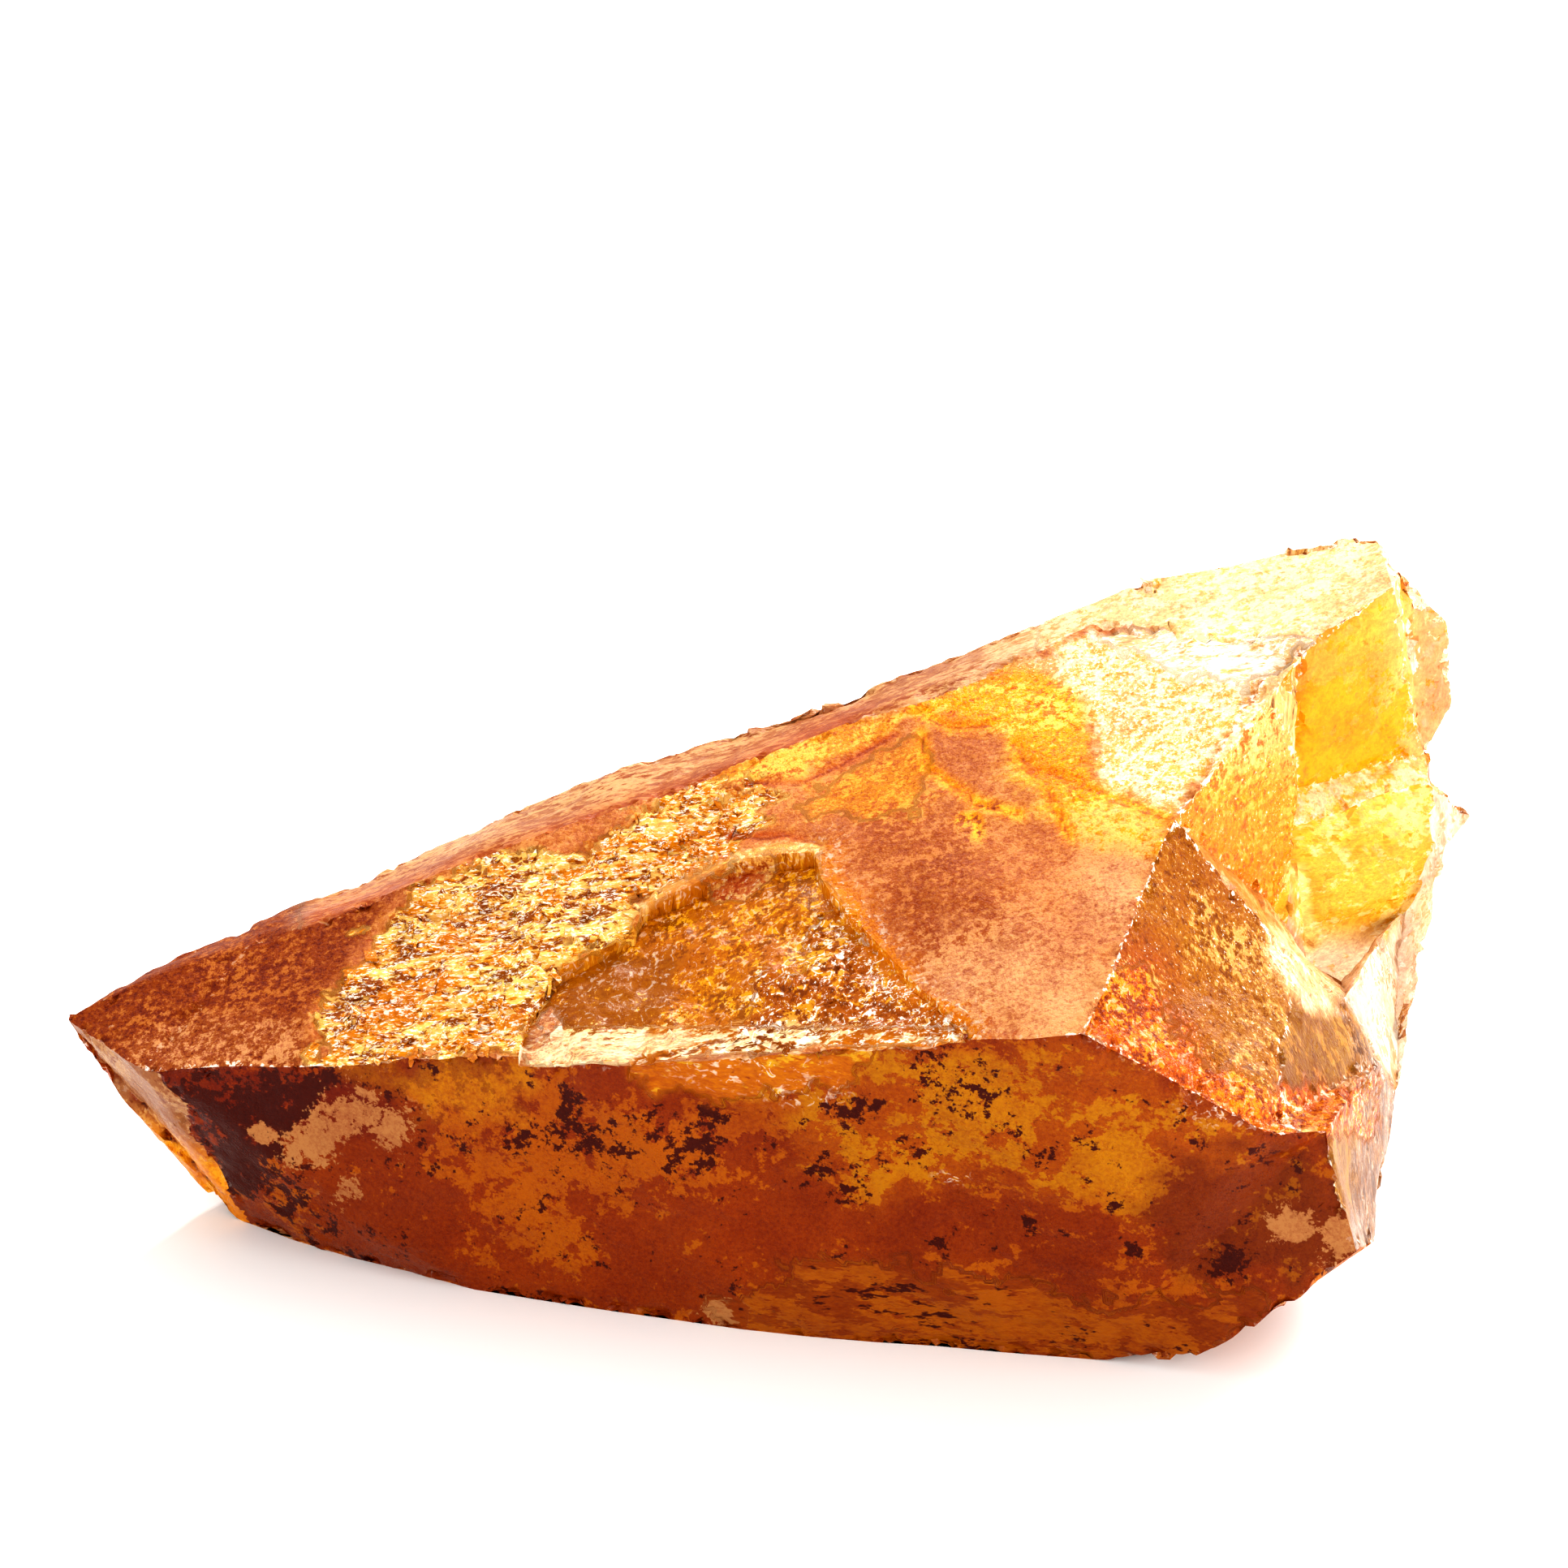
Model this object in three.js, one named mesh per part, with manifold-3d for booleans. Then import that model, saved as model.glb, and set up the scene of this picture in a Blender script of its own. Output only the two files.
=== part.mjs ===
// Honey calcite point: one natural crystal, in millimetres. The tip points to -X, the broken
// end faces +X, +Z is up and the crystal rests on its flat underside at z = 0.
//
// The crystal is written down the way a mineral is described: named corners, the flat faces
// that join them, then what time has done to it (a hollow flaked out of the upper face, chips
// along the edges, cleavage steps, a grainy skin).
import * as THREE from "three";
import { ConvexGeometry } from "three/addons/geometries/ConvexGeometry.js";
import { mergeVertices } from "three/addons/utils/BufferGeometryUtils.js";
import Module from "manifold-3d";

// ---- driving dimensions ---------------------------------------------------------------------

// Length of the longest edge the skin is divided into, by where it is.
const FINENESS = 0.95; // 1 is the finest skin; larger is coarser all over
const EDGE_BASE = 9 * FINENESS; // flat underside
const EDGE_BACK = 4.4 * FINENESS; // faces turned away from the show side
const EDGE_FRONT = 3.3 * FINENESS; // show faces
const EDGE_RIM = 2 * FINENESS; // broken keel, hollow and the flaked ground beside it

// Unevenness of the skin: how far it wanders, and over what distance.
const SWELL = 0.55;
const SWELL_SPAN = 17;
const RIPPLE = 0.32;
const RIPPLE_SPAN = 6.5;
const GRAIN = 0.16;
const GRAIN_SPAN = 2.3;

const HOLLOW_DEPTH = 1.6; // under the upper face, at the hollow's upper wall
const HOLLOW_SLOPE = 0.052; // the floor climbs back this much per millimetre towards the keel
const FLAKE_HEIGHT = 0.55; // thickness of the plates lifted off beside the hollow
const WRINKLE_HEIGHT = 0.8; // wrinkles where the ridge meets the broken end
const CLEAVAGE_STEP = 0.4; // steps of cleavage on the front face
const BACK_STEP = 0.9; // the same on the back, which has weathered deeper

// Corners of the crystal.
const corner = {
  // the point itself
  tip: [-54, 6, 15.7],
  chin: [-50, 5, 9],
  jaw: [-45.1, 5, 2.2],
  // keel: the front edge of the long upper face
  keelA: [-46.9, -1.4, 15.5],
  keelB: [-34.8, -5.5, 18],
  keelC: [-21.3, -9.3, 20.9],
  keelD: [-11.4, -12.7, 22.9],
  keelE: [2.2, -16.4, 26],
  keelF: [19.9, -22, 29.7],
  // ridge: the back edge of the long upper face
  ridgeA: [-38.9, 9, 21.4],
  ridgeB: [-27.2, 9.9, 25.4],
  ridgeC: [-16.2, 11.1, 29.2],
  ridgeD: [2.7, 13.8, 36],
  ridgeE: [22.1, 16.7, 43],
  ridgeF: [29, 12.9, 43.9],
  ridgeG: [35.2, 10.3, 45],
  // crest: the highest line of the crystal, behind the ridge
  crestA: [-38.8, 15, 20.4],
  crestB: [-25.5, 19, 24.7],
  crestC: [-20.4, 19, 27.1],
  crestD: [-7.2, 19.5, 32.2],
  crestE: [2.7, 20, 35.2],
  crestF: [13.9, 21, 39.2],
  crestG: [26.7, 22, 44.7],
  crestH: [38.3, 22, 47.3],
  crestI: [42.2, 22, 48.4],
  crestJ: [44.7, 21, 48.3],
  // front foot
  footA: [-41.2, 3, 0],
  footB: [-22.8, -7.2, 0],
  footC: [-2.7, -12.4, 0],
  footD: [15.4, -15.5, 0],
  footE: [22, -16.2, 0],
  footF: [28.5, -18, 1.4],
  heelA: [35.8, -20, 7.9],
  heelB: [39.5, -21, 11.9],
  // upper edge of the broken end
  breakA: [27.4, -5.3, 37.5],
  breakB: [34.7, 5.9, 43.4],
  notchTop: [37.3, 7.7, 44.8],
  breakC: [39.7, 8.9, 46],
  breakD: [44.5, 11.8, 48.4],
  // two notches cleaved into the broken end, one over the other
  ledgeIn: [37.7, 10, 33.4],
  ledgeOut: [48.1, 15, 33.1],
  stepIn: [37.3, 7, 31.8],
  stepOut: [48.4, 13, 32],
  floorIn: [37.5, 6.5, 23.4],
  floorMid: [39.2, 6, 20.6],
  floorOut: [42.2, 7.5, 17.8],
  wallOut: [46.9, 11, 22.4],
  // facets under the notches
  rim: [34.7, -7, 29],
  rimLow: [35.6, -10.5, 26.1],
  lip: [40.3, -4, 22.8],
  lipLow: [43.2, -5, 17.5],
  cornerA: [32.9, -21.5, 21.8],
  cornerB: [37.3, -20, 20.7],
  sideA: [42.5, -10, 5.9],
  sideB: [45.3, 0, 12.9],
  sideC: [47.6, 5, 18.7],
  sideD: [48.6, 9, 22.8],
  // lobes and spur on the far right
  lobeA: [45.8, 16, 47.7],
  lobeB: [50, 18, 42.7],
  lobeC: [50.8, 18, 35.7],
  spur: [51.7, 13, 29.4],
  spurIn: [49.6, 12.3, 28.8],
  spurLow: [50.2, 12, 27.1],
  // back keel and back foot
  backA: [-41, 16, 11],
  backB: [-14, 28, 17],
  backC: [18, 34, 23],
  backD: [44, 30, 27],
  heelC: [38, 8, 0],
  footG: [38, 21, 0],
  footH: [23, 25.5, 0],
  footI: [-10, 21, 0],
  footJ: [-37, 12.5, 0],
};

// Flat faces of the crystal: the corners of each flat piece, anticlockwise seen from outside.
const faces = {
  upper: ["tip keelA keelB keelC keelD keelE keelF breakA breakB notchTop breakC ridgeG ridgeF"
    + " ridgeE ridgeD ridgeC ridgeB ridgeA"],
  shoulder: ["tip ridgeA crestA", "ridgeA ridgeB crestB crestA", "ridgeB ridgeC crestC crestB",
    "ridgeC ridgeD crestE crestD crestC", "ridgeD ridgeE crestF crestE",
    "ridgeE ridgeF crestG crestF", "ridgeF ridgeG breakC crestH crestG",
    "breakC breakD crestJ crestI crestH"],
  front: ["keelA footA footB keelB", "keelB footB keelC", "keelC footB footC keelD",
    "keelD footC footD keelE", "keelE footD footE keelF",
    "keelF footE footF heelA heelB cornerB cornerA"],
  bow: ["tip chin jaw footA keelA"],
  speckled: ["keelF cornerA rimLow rim breakA"],
  strip: ["breakA rim floorIn stepIn ledgeIn notchTop breakB"],
  upperWall: ["notchTop ledgeIn ledgeOut breakD breakC", "ledgeOut lobeC lobeB lobeA breakD"],
  ledge: ["ledgeIn stepIn stepOut ledgeOut"],
  lowerWall: ["stepIn floorIn floorMid floorOut wallOut spurLow spurIn stepOut"],
  spurFace: ["stepOut spurIn spurLow spur"],
  clear: ["floorOut lip lipLow sideB sideC sideD spurLow wallOut"],
  wedge: ["rim rimLow lip floorOut floorMid floorIn"],
  tan: ["cornerA cornerB heelB sideA sideB lipLow lip rimLow"],
  end: ["crestJ breakD lobeA backD", "lobeA lobeB lobeC backD", "lobeC ledgeOut stepOut spur backD",
    "spur spurLow sideD backD", "sideD sideC sideB heelC footG backD"],
  underHeel: ["sideB sideA heelB heelA heelC", "heelA footF footE heelC"],
  backUpper: ["tip crestA backA", "crestA crestB crestC backB backA",
    "crestC crestD crestE crestF backC backB", "crestF crestG crestH crestI crestJ backD backC"],
  backLower: ["backD footG footH backC", "footH footI backB backC", "footI footJ backA backB"],
  bowBack: ["tip backA footJ footA jaw chin"],
  base: ["footA footJ footI footH footG heelC footE footD footC footB"],
};

// The hollow on the upper face, seen from above: [x, y] round its upper wall, then out past
// the keel.
const hollowOutline = [
  [-19.6, -16], [-18.7, -9.2], [-17.5, -5.6], [-16.1, -3.4], [-10.9, -1.4], [-10.1, 0.6],
  [-6.2, 1.6], [-3.6, 3], [2.6, 1.8], [2.9, -1.1], [4.8, -5.7], [7, -9.6], [8.6, -12.4],
  [10.8, -16.1], [12.3, -19.8], [12.6, -27], [-12, -27],
];

// Ground flaked into plates between the hollow and the tip.
const flakedOutline = [
  [-34.3, -5.2], [-33.7, 0.7], [-31.7, 4.7], [-27.2, 9.5], [-22.3, 11], [-16.1, 10.2],
  [-10, 10.4], [-4, 11.4], [-1.3, 8.2], [-3.6, 3], [-6.2, 1.6], [-10.1, 0.6], [-10.9, -1.4],
  [-16.1, -3.4], [-17.5, -5.6], [-18.7, -9.2], [-21.6, -9.3], [-28.2, -8],
];

// The wrinkled stretch of the ridge, where the upper face breaks off.
const wrinkledOutline = [
  [20, 14.6], [29.1, 15.6], [35.3, 12.6], [39.6, 9.2], [37.1, 6.9], [33.8, 5.3], [30.2, 6.8],
  [25.8, 9.9],
];

// Rhomb-shaped pieces cleaved away, each as the corners of what is missing: four from the back
// and the far end, one from the keel below the hollow.
const cleaved = [
  [[20, 33, 40], [20, 24.5, 40], [30, 40, 40], [30, 26, 40], [22, 33, 27], [22, 29, 27],
    [34, 40, 27], [34, 29, 27]],
  [[-9, 22.5, 34], [-9, 34, 34], [4, 24.5, 36], [4, 38, 36], [-7, 26.5, 20], [-7, 36, 20],
    [6, 29.5, 21], [6, 40, 21]],
  [[-33, 18, 12], [-33, 30, 12], [-21, 22, 15], [-21, 34, 15], [-31, 15, -2], [-31, 30, -2],
    [-20, 20, -2], [-20, 34, -2]],
  [[46, 22, 20], [60, 16, 20], [46, 40, 20], [60, 40, 20], [38.5, 17, -2], [60, 12, -2],
    [38.5, 40, -2], [60, 40, -2]],
  [[-18.2, -11.4, 20.5], [-11.3, -14.6, 21.6], [-16.4, -8.2, 22], [-11.7, -9.4, 23.2],
    [-18.4, -17, 20.1], [-11.4, -20, 21.2], [-18.2, -11.4, 27], [-11.3, -14.6, 28],
    [-16.4, -8.2, 28], [-11.7, -9.4, 29], [-18.4, -17, 27], [-11.4, -20, 28]],
];

// The nick between the far lobe and the spur: it runs right through to the back.
const nick = [
  [47.5, 12, 34.8], [51.7, 34, 24.8], [48.2, 12, 32.3], [52.4, 34, 22.1], [52.6, 12, 45],
  [57.3, 34, 35.8], [55.4, 12, 26.7], [60.2, 34, 16],
];

// Grains of the rock it grew on, still stuck to the crest: centre and half-sizes.
const grains = [
  { at: [27.4, 21.8, 44.7], half: [1, 0.9, 0.7] },
  { at: [3.2, 19.8, 35.3], half: [0.7, 0.7, 0.5] },
  { at: [-2.2, 19.6, 33.6], half: [0.7, 0.6, 0.4] },
];

// ---- natural unevenness -----------------------------------------------------------------------

function scatter(i, j, k, salt) {
  let h = Math.imul(i, 374761393) ^ Math.imul(j, 668265263) ^ Math.imul(k, 974634777);
  h = Math.imul(h ^ Math.imul(salt, 1274126177), 2246822519);
  h = Math.imul(h ^ (h >>> 13), 3266489917);
  return ((h ^ (h >>> 16)) >>> 0) / 4294967295;
}

// Smooth unevenness from -1 to 1, the same at the same place every time.
function uneven(p, span, salt) {
  const [x, y, z] = [p.x / span, p.y / span, p.z / span];
  const [i, j, k] = [Math.floor(x), Math.floor(y), Math.floor(z)];
  const ease = (t) => t * t * (3 - 2 * t);
  const [u, v, w] = [ease(x - i), ease(y - j), ease(z - k)];
  let sum = 0;
  for (const [a, fa] of [[0, 1 - u], [1, u]]) {
    for (const [b, fb] of [[0, 1 - v], [1, v]]) {
      for (const [c, fc] of [[0, 1 - w], [1, w]]) {
        sum += fa * fb * fc * scatter(i + a, j + b, k + c, salt);
      }
    }
  }
  return 2 * sum - 1;
}

const step = (low, high, x) => THREE.MathUtils.smoothstep(x, low, high);

// Distance inside (+) or outside (-) a closed outline, in its own plane.
function inside(outline, x, y) {
  let nearest = Infinity;
  let within = false;
  for (let i = 0, j = outline.length - 1; i < outline.length; j = i, i += 1) {
    const [ax, ay] = outline[j];
    const [bx, by] = outline[i];
    if ((ay > y) !== (by > y) && x < ((bx - ax) * (y - ay)) / (by - ay) + ax) within = !within;
    const t = ((x - ax) * (bx - ax) + (y - ay) * (by - ay)) / ((bx - ax) ** 2 + (by - ay) ** 2);
    const s = Math.min(1, Math.max(0, t));
    nearest = Math.min(nearest, Math.hypot(x - ax - s * (bx - ax), y - ay - s * (by - ay)));
  }
  return within ? nearest : -nearest;
}

// ---- the solid --------------------------------------------------------------------------------

const wasm = await Module();
wasm.setup();

const at = Object.fromEntries(
  Object.entries(corner).map(([name, p]) => [name, new THREE.Vector3(...p)]),
);

// Plane of the long upper face, through the tip and the two ends of its broken edge.
const upperPlane = new THREE.Plane().setFromCoplanarPoints(at.tip, at.keelF, at.breakC);
const upperHeight = (x, y) => {
  const { normal, constant } = upperPlane;
  return -(constant + normal.x * x + normal.y * y) / normal.z;
};

// Plane of the front face, which leans out over its foot.
const frontPlane = new THREE.Plane().setFromCoplanarPoints(at.keelA, at.footC, at.keelF);

function toSolid(geometry) {
  const bare = geometry.clone();
  bare.deleteAttribute("normal");
  bare.deleteAttribute("uv");
  const joined = mergeVertices(bare, 1e-4);
  return new wasm.Manifold(new wasm.Mesh({
    numProp: 3,
    vertProperties: new Float32Array(joined.attributes.position.array),
    triVerts: new Uint32Array(joined.index.array),
  }));
}

function facedSolid() {
  const names = Object.keys(at);
  const triangles = [];
  for (const list of Object.values(faces).flat()) {
    const loop = list.split(" ");
    const normal = new THREE.Vector3();
    loop.forEach((name, i) => {
      normal.add(at[name].clone().cross(at[loop[(i + 1) % loop.length]]));
    });
    const flat = new THREE.Quaternion().setFromUnitVectors(
      normal.normalize(),
      new THREE.Vector3(0, 0, 1),
    );
    const outline = loop.map((name) => {
      const p = at[name].clone().applyQuaternion(flat);
      return new THREE.Vector2(p.x, p.y);
    });
    for (const tri of THREE.ShapeUtils.triangulateShape(outline, [])) {
      triangles.push(...tri.map((i) => names.indexOf(loop[i])));
    }
  }
  const geometry = new THREE.BufferGeometry();
  const points = names.flatMap((name) => at[name].toArray());
  geometry.setAttribute("position", new THREE.Float32BufferAttribute(points, 3));
  geometry.setIndex(triangles);
  return toSolid(geometry);
}

const pebble = (points) => toSolid(new ConvexGeometry(points));

// A straight-walled piece standing on a sloping floor, to be taken out of the upper face.
function chunkAbove(outline, floorHeight, ceiling) {
  const shape = new THREE.Shape(outline.map(([x, y]) => new THREE.Vector2(x, y)));
  const block = new THREE.ExtrudeGeometry(shape, { depth: 1, bevelEnabled: false });
  const position = block.attributes.position;
  for (let i = 0; i < position.count; i += 1) {
    const [x, y] = [position.getX(i), position.getY(i)];
    position.setZ(i, position.getZ(i) > 0.5 ? ceiling : floorHeight(x, y));
  }
  return toSolid(block);
}

let crystal = facedSolid();
const hollowFloor = (x, y) => upperHeight(x, y) - HOLLOW_DEPTH + HOLLOW_SLOPE * (5 - y);
crystal = crystal.subtract(chunkAbove(hollowOutline, hollowFloor, 60));
for (const missing of [...cleaved, nick]) {
  crystal = crystal.subtract(pebble(missing.map((p) => new THREE.Vector3(...p))));
}
for (const { at: centre, half } of grains) {
  const lump = new THREE.IcosahedronGeometry(1, 1);
  lump.scale(...half);
  lump.translate(...centre);
  crystal = crystal.add(toSolid(lump));
}

// ---- the skin ---------------------------------------------------------------------------------

// Longest edge wanted at a place on the skin.
function edgeWanted(p) {
  if (p.z < 0.05) return EDGE_BASE;
  const height = upperPlane.distanceToPoint(p);
  const nearUpper = Math.abs(height) < 3.2;
  if (nearUpper && inside(hollowOutline, p.x, p.y) > -1.2 && p.y > -24) return EDGE_RIM;
  if (nearUpper && inside(flakedOutline, p.x, p.y) > 0) return EDGE_RIM;
  if (nearUpper && inside(wrinkledOutline, p.x, p.y) > 0) return EDGE_RIM;
  const hidden = p.y > 22.5 || (p.y > 6 && p.z < 17 && p.x < 44);
  return hidden ? EDGE_BACK : EDGE_FRONT;
}

const side = (a, b) => a * 1e6 + b;
const longestOf = (points, tri) => {
  const lengths = tri.map((a, i) => points[a].distanceTo(points[tri[(i + 1) % 3]]));
  const most = Math.max(...lengths);
  const i = lengths.indexOf(most);
  return [most, tri[i], tri[(i + 1) % 3]];
};

// Splits the longest edges in two, over and over, until each is as short as its place wants.
function divide(points, triangles) {
  for (let limit = 64; limit > 1; limit *= 0.85) {
    for (let again = true; again;) {
      again = false;
      const middle = new Map();
      for (const tri of triangles) {
        const [longest, a, b] = longestOf(points, tri);
        const centre = points[a].clone().lerp(points[b], 0.5);
        if (longest <= limit || longest <= edgeWanted(centre) || middle.has(side(a, b))) continue;
        middle.set(side(a, b), points.length);
        middle.set(side(b, a), points.length);
        points.push(centre);
        again = true;
      }
      triangles = triangles.flatMap(([a, b, c]) => cut(
        a, b, c, middle.get(side(a, b)), middle.get(side(b, c)), middle.get(side(c, a)),
      ));
    }
    triangles = relax(points, triangles);
  }
  return triangles;
}

// Swaps the side two triangles of one flat face share, wherever that leaves them less thin.
function relax(points, triangles) {
  const normalOf = (a, b, c) => {
    const ab = points[b].clone().sub(points[a]);
    return ab.cross(points[c].clone().sub(points[a]));
  };
  const cotangent = (a, b, c) => {
    const [u, v] = [points[a].clone().sub(points[c]), points[b].clone().sub(points[c])];
    return u.dot(v) / Math.max(u.cross(v).length(), 1e-9);
  };
  for (let round = 0; round < 10; round += 1) {
    const owner = new Map();
    triangles.forEach((tri, i) => tri.forEach((a, k) => owner.set(side(a, tri[(k + 1) % 3]), i)));
    const touched = new Set();
    let swaps = 0;
    for (const [key, i] of owner) {
      const [a, b] = [Math.floor(key / 1e6), key % 1e6];
      const j = owner.get(side(b, a));
      if (a > b || touched.has(i) || touched.has(j)) continue;
      const c = triangles[i].find((v) => v !== a && v !== b);
      const d = triangles[j].find((v) => v !== a && v !== b);
      if (owner.has(side(c, d)) || owner.has(side(d, c))) continue;
      const [n, m] = [normalOf(a, b, c), normalOf(b, a, d)];
      if (n.dot(m) < 0.99999 * n.length() * m.length()) continue;
      if (cotangent(a, b, c) + cotangent(a, b, d) > -1e-6) continue;
      const [p, q] = [normalOf(a, d, c), normalOf(d, b, c)];
      const whole = n.add(m);
      if (p.dot(whole) < 1e-7 || q.dot(whole) < 1e-7) continue;
      triangles[i] = [a, d, c];
      triangles[j] = [d, b, c];
      touched.add(i).add(j);
      swaps += 1;
    }
    if (!swaps) break;
  }
  return triangles;
}

// One triangle, with the middles of whichever of its sides have been split.
function cut(a, b, c, ab, bc, ca) {
  if (ab === undefined && bc === undefined && ca === undefined) return [[a, b, c]];
  if (ab === undefined) return cut(b, c, a, bc, ca, ab);
  if (bc === undefined && ca === undefined) return [[a, ab, c], [ab, b, c]];
  if (ca === undefined) return [[a, ab, c], [ab, b, bc], [ab, bc, c]];
  if (bc === undefined) return [[a, ab, ca], [ab, b, c], [ab, c, ca]];
  return [[a, ab, ca], [ab, b, bc], [bc, c, ca], [ab, bc, ca]];
}

// Moves one point of the skin to where the worn crystal has it.
function weather(p) {
  const out = p.clone();
  const held = step(0, 5, p.z); // the underside stays flat on the table
  const wander = (size, span, salt) => {
    out.x += size * uneven(p, span, salt);
    out.y += size * uneven(p, span, salt + 1);
    out.z += size * uneven(p, span, salt + 2) * held;
  };
  wander(SWELL, SWELL_SPAN, 11);
  wander(RIPPLE, RIPPLE_SPAN, 23);
  wander(GRAIN, GRAIN_SPAN, 37);

  const onUpper = 1 - step(1.2, 3.4, Math.abs(upperPlane.distanceToPoint(p)));
  const flaked = step(0, 1.2, inside(flakedOutline, p.x, p.y)) * onUpper;
  const bare = step(0.2, 1.4, inside(hollowOutline, p.x, p.y)) * onUpper * step(-25, -19, p.y);
  const plates = Math.round(1.6 * uneven(p, 3.4, 51) + 1.1 * uneven(p, 1.9, 57)) / 2;
  const shells = uneven(p, 4.2, 63) * 0.6 + uneven(p, 1.9, 67) * 0.5;
  const wrinkled = step(0, 1.5, inside(wrinkledOutline, p.x, p.y)) * onUpper;
  const wrinkles = uneven(p, 2.6, 71) * WRINKLE_HEIGHT;
  out.addScaledVector(
    upperPlane.normal,
    flaked * (plates - 0.35) * FLAKE_HEIGHT + bare * shells * 0.6 + wrinkled * wrinkles,
  );

  // Cleavage steps run along the crystal: longer than they are high.
  const along = new THREE.Vector3(p.x * 0.45, p.y, p.z);
  const onFront = 1 - step(0.8, 2.5, Math.abs(frontPlane.distanceToPoint(p)));
  const edges = step(1, 4, p.z) * step(0.6, 2, -upperPlane.distanceToPoint(p));
  const frontSteps = Math.round(2 * uneven(along, 5, 81) + uneven(along, 2.4, 83)) / 2;
  out.addScaledVector(frontPlane.normal, frontSteps * CLEAVAGE_STEP * onFront * edges);
  const behind = step(19, 24, p.y) * held;
  out.y += behind * BACK_STEP * (Math.round(2 * uneven(along, 9, 91)) / 2 - 0.2);
  return out;
}

const mesh = crystal.getMesh();
const points = [];
for (let i = 0; i < mesh.numVert; i += 1) {
  points.push(new THREE.Vector3().fromArray(mesh.vertProperties, i * mesh.numProp));
}
let triangles = [];
for (let i = 0; i < mesh.numTri; i += 1) {
  triangles.push([...mesh.triVerts.subarray(3 * i, 3 * i + 3)]);
}
triangles = divide(points, triangles);
const worn = points.map(weather);

// The row's frame: the middle of the underside of the box that holds the crystal.
const box = new THREE.Box3().setFromPoints(worn);
const origin = box.getCenter(new THREE.Vector3()).setZ(box.min.z);
worn.forEach((p) => p.sub(origin));

const skin = new THREE.BufferGeometry();
skin.setAttribute(
  "position",
  new THREE.Float32BufferAttribute(worn.flatMap((p) => p.toArray()), 3),
);
skin.setIndex(triangles.flat());
skin.computeVertexNormals();

const honeyCalcite = new THREE.MeshStandardMaterial({
  name: "honey_calcite",
  color: new THREE.Color(0.72, 0.36, 0.08),
  roughness: 0.3,
  metalness: 0,
});

const point = new THREE.Mesh(skin, honeyCalcite);
point.name = "calcite_point";

const part = new THREE.Group();
part.name = "honey_calcite_point";
part.add(point);
part.userData.origin = origin.toArray(); // the frame's origin, among the corners above

export default part;
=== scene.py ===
# %% The frame
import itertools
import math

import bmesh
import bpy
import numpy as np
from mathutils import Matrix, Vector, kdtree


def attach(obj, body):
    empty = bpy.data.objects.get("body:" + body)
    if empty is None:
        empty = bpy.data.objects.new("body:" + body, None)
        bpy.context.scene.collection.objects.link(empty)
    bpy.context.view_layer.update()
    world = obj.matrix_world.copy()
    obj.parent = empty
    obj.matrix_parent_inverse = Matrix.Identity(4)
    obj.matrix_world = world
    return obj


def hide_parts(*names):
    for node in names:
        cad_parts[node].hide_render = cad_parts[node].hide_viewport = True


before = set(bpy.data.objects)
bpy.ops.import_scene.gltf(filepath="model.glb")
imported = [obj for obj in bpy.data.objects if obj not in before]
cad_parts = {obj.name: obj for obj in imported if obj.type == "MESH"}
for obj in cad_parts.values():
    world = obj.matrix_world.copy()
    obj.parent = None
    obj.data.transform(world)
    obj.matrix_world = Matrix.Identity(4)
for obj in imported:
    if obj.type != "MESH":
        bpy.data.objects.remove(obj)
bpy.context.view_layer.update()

# %% [markdown]
# # A point of honey calcite
# One natural crystal the length of a hand's width: a tip at the left, a long upper face with a
# flaked hollow in it, and a broken end at the right where the stone was split off. The packed
# solid already has every large form at its true size. This notebook gives it what is seen close
# up: plates and cracks, an iron-stained skin, worn edges, and stone that lets some light in.
#
# All sizes below are millimetres. Blender works in metres, so `MM` turns one into the other.

MM = 0.001

# %% [markdown]
# ## The camera and its tracing sheet
# A camera can be placed by eye, or by three facts: what it aims at, how far off it is and how
# steeply it looks down. The three facts are used, because the same numbers also give a tracing
# sheet: an upright sheet of film held in front of the stone at the camera's angle, scaled so
# that a millimetre on the film is about a millimetre on the crystal. Stains, cracks and borders
# are drawn on it as simple outlines, right over the place where they are on the stone.

# %% Camera
scene = bpy.context.scene


def put(name, data):
    """A new object, in the scene."""
    thing = bpy.data.objects.new(name, data)
    scene.collection.objects.link(thing)
    return thing


AIM = np.array([1.2, -5.5, 38.0])
EYE_DISTANCE = 263.7
LOOK_DOWN = math.radians(25)
LENS, SENSOR = 85, 36

RIGHT = np.array([1.0, 0.0, 0.0])
UP = np.array([0.0, math.sin(LOOK_DOWN), math.cos(LOOK_DOWN)])
AHEAD = np.array([0.0, math.cos(LOOK_DOWN), -math.sin(LOOK_DOWN)])
EYE = AIM - EYE_DISTANCE * AHEAD

camera = put("camera", bpy.data.cameras.new("camera"))
camera.data.lens = LENS
camera.data.sensor_width = SENSOR
camera.data.clip_start = 0.01
camera.location = EYE * MM
camera.rotation_euler = (math.pi / 2 - LOOK_DOWN, 0, 0)
scene.camera = camera
print("camera at, mm:", EYE.round(1))


# %% Tracing sheet
def on_sheet(at):
    """Where points (mm) fall on the tracing sheet: across and up from its middle, in mm."""
    ray = at - EYE
    scale = EYE_DISTANCE / (ray @ AHEAD)
    return np.stack([ray @ RIGHT, ray @ UP], axis=1) * scale[:, None]


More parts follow.
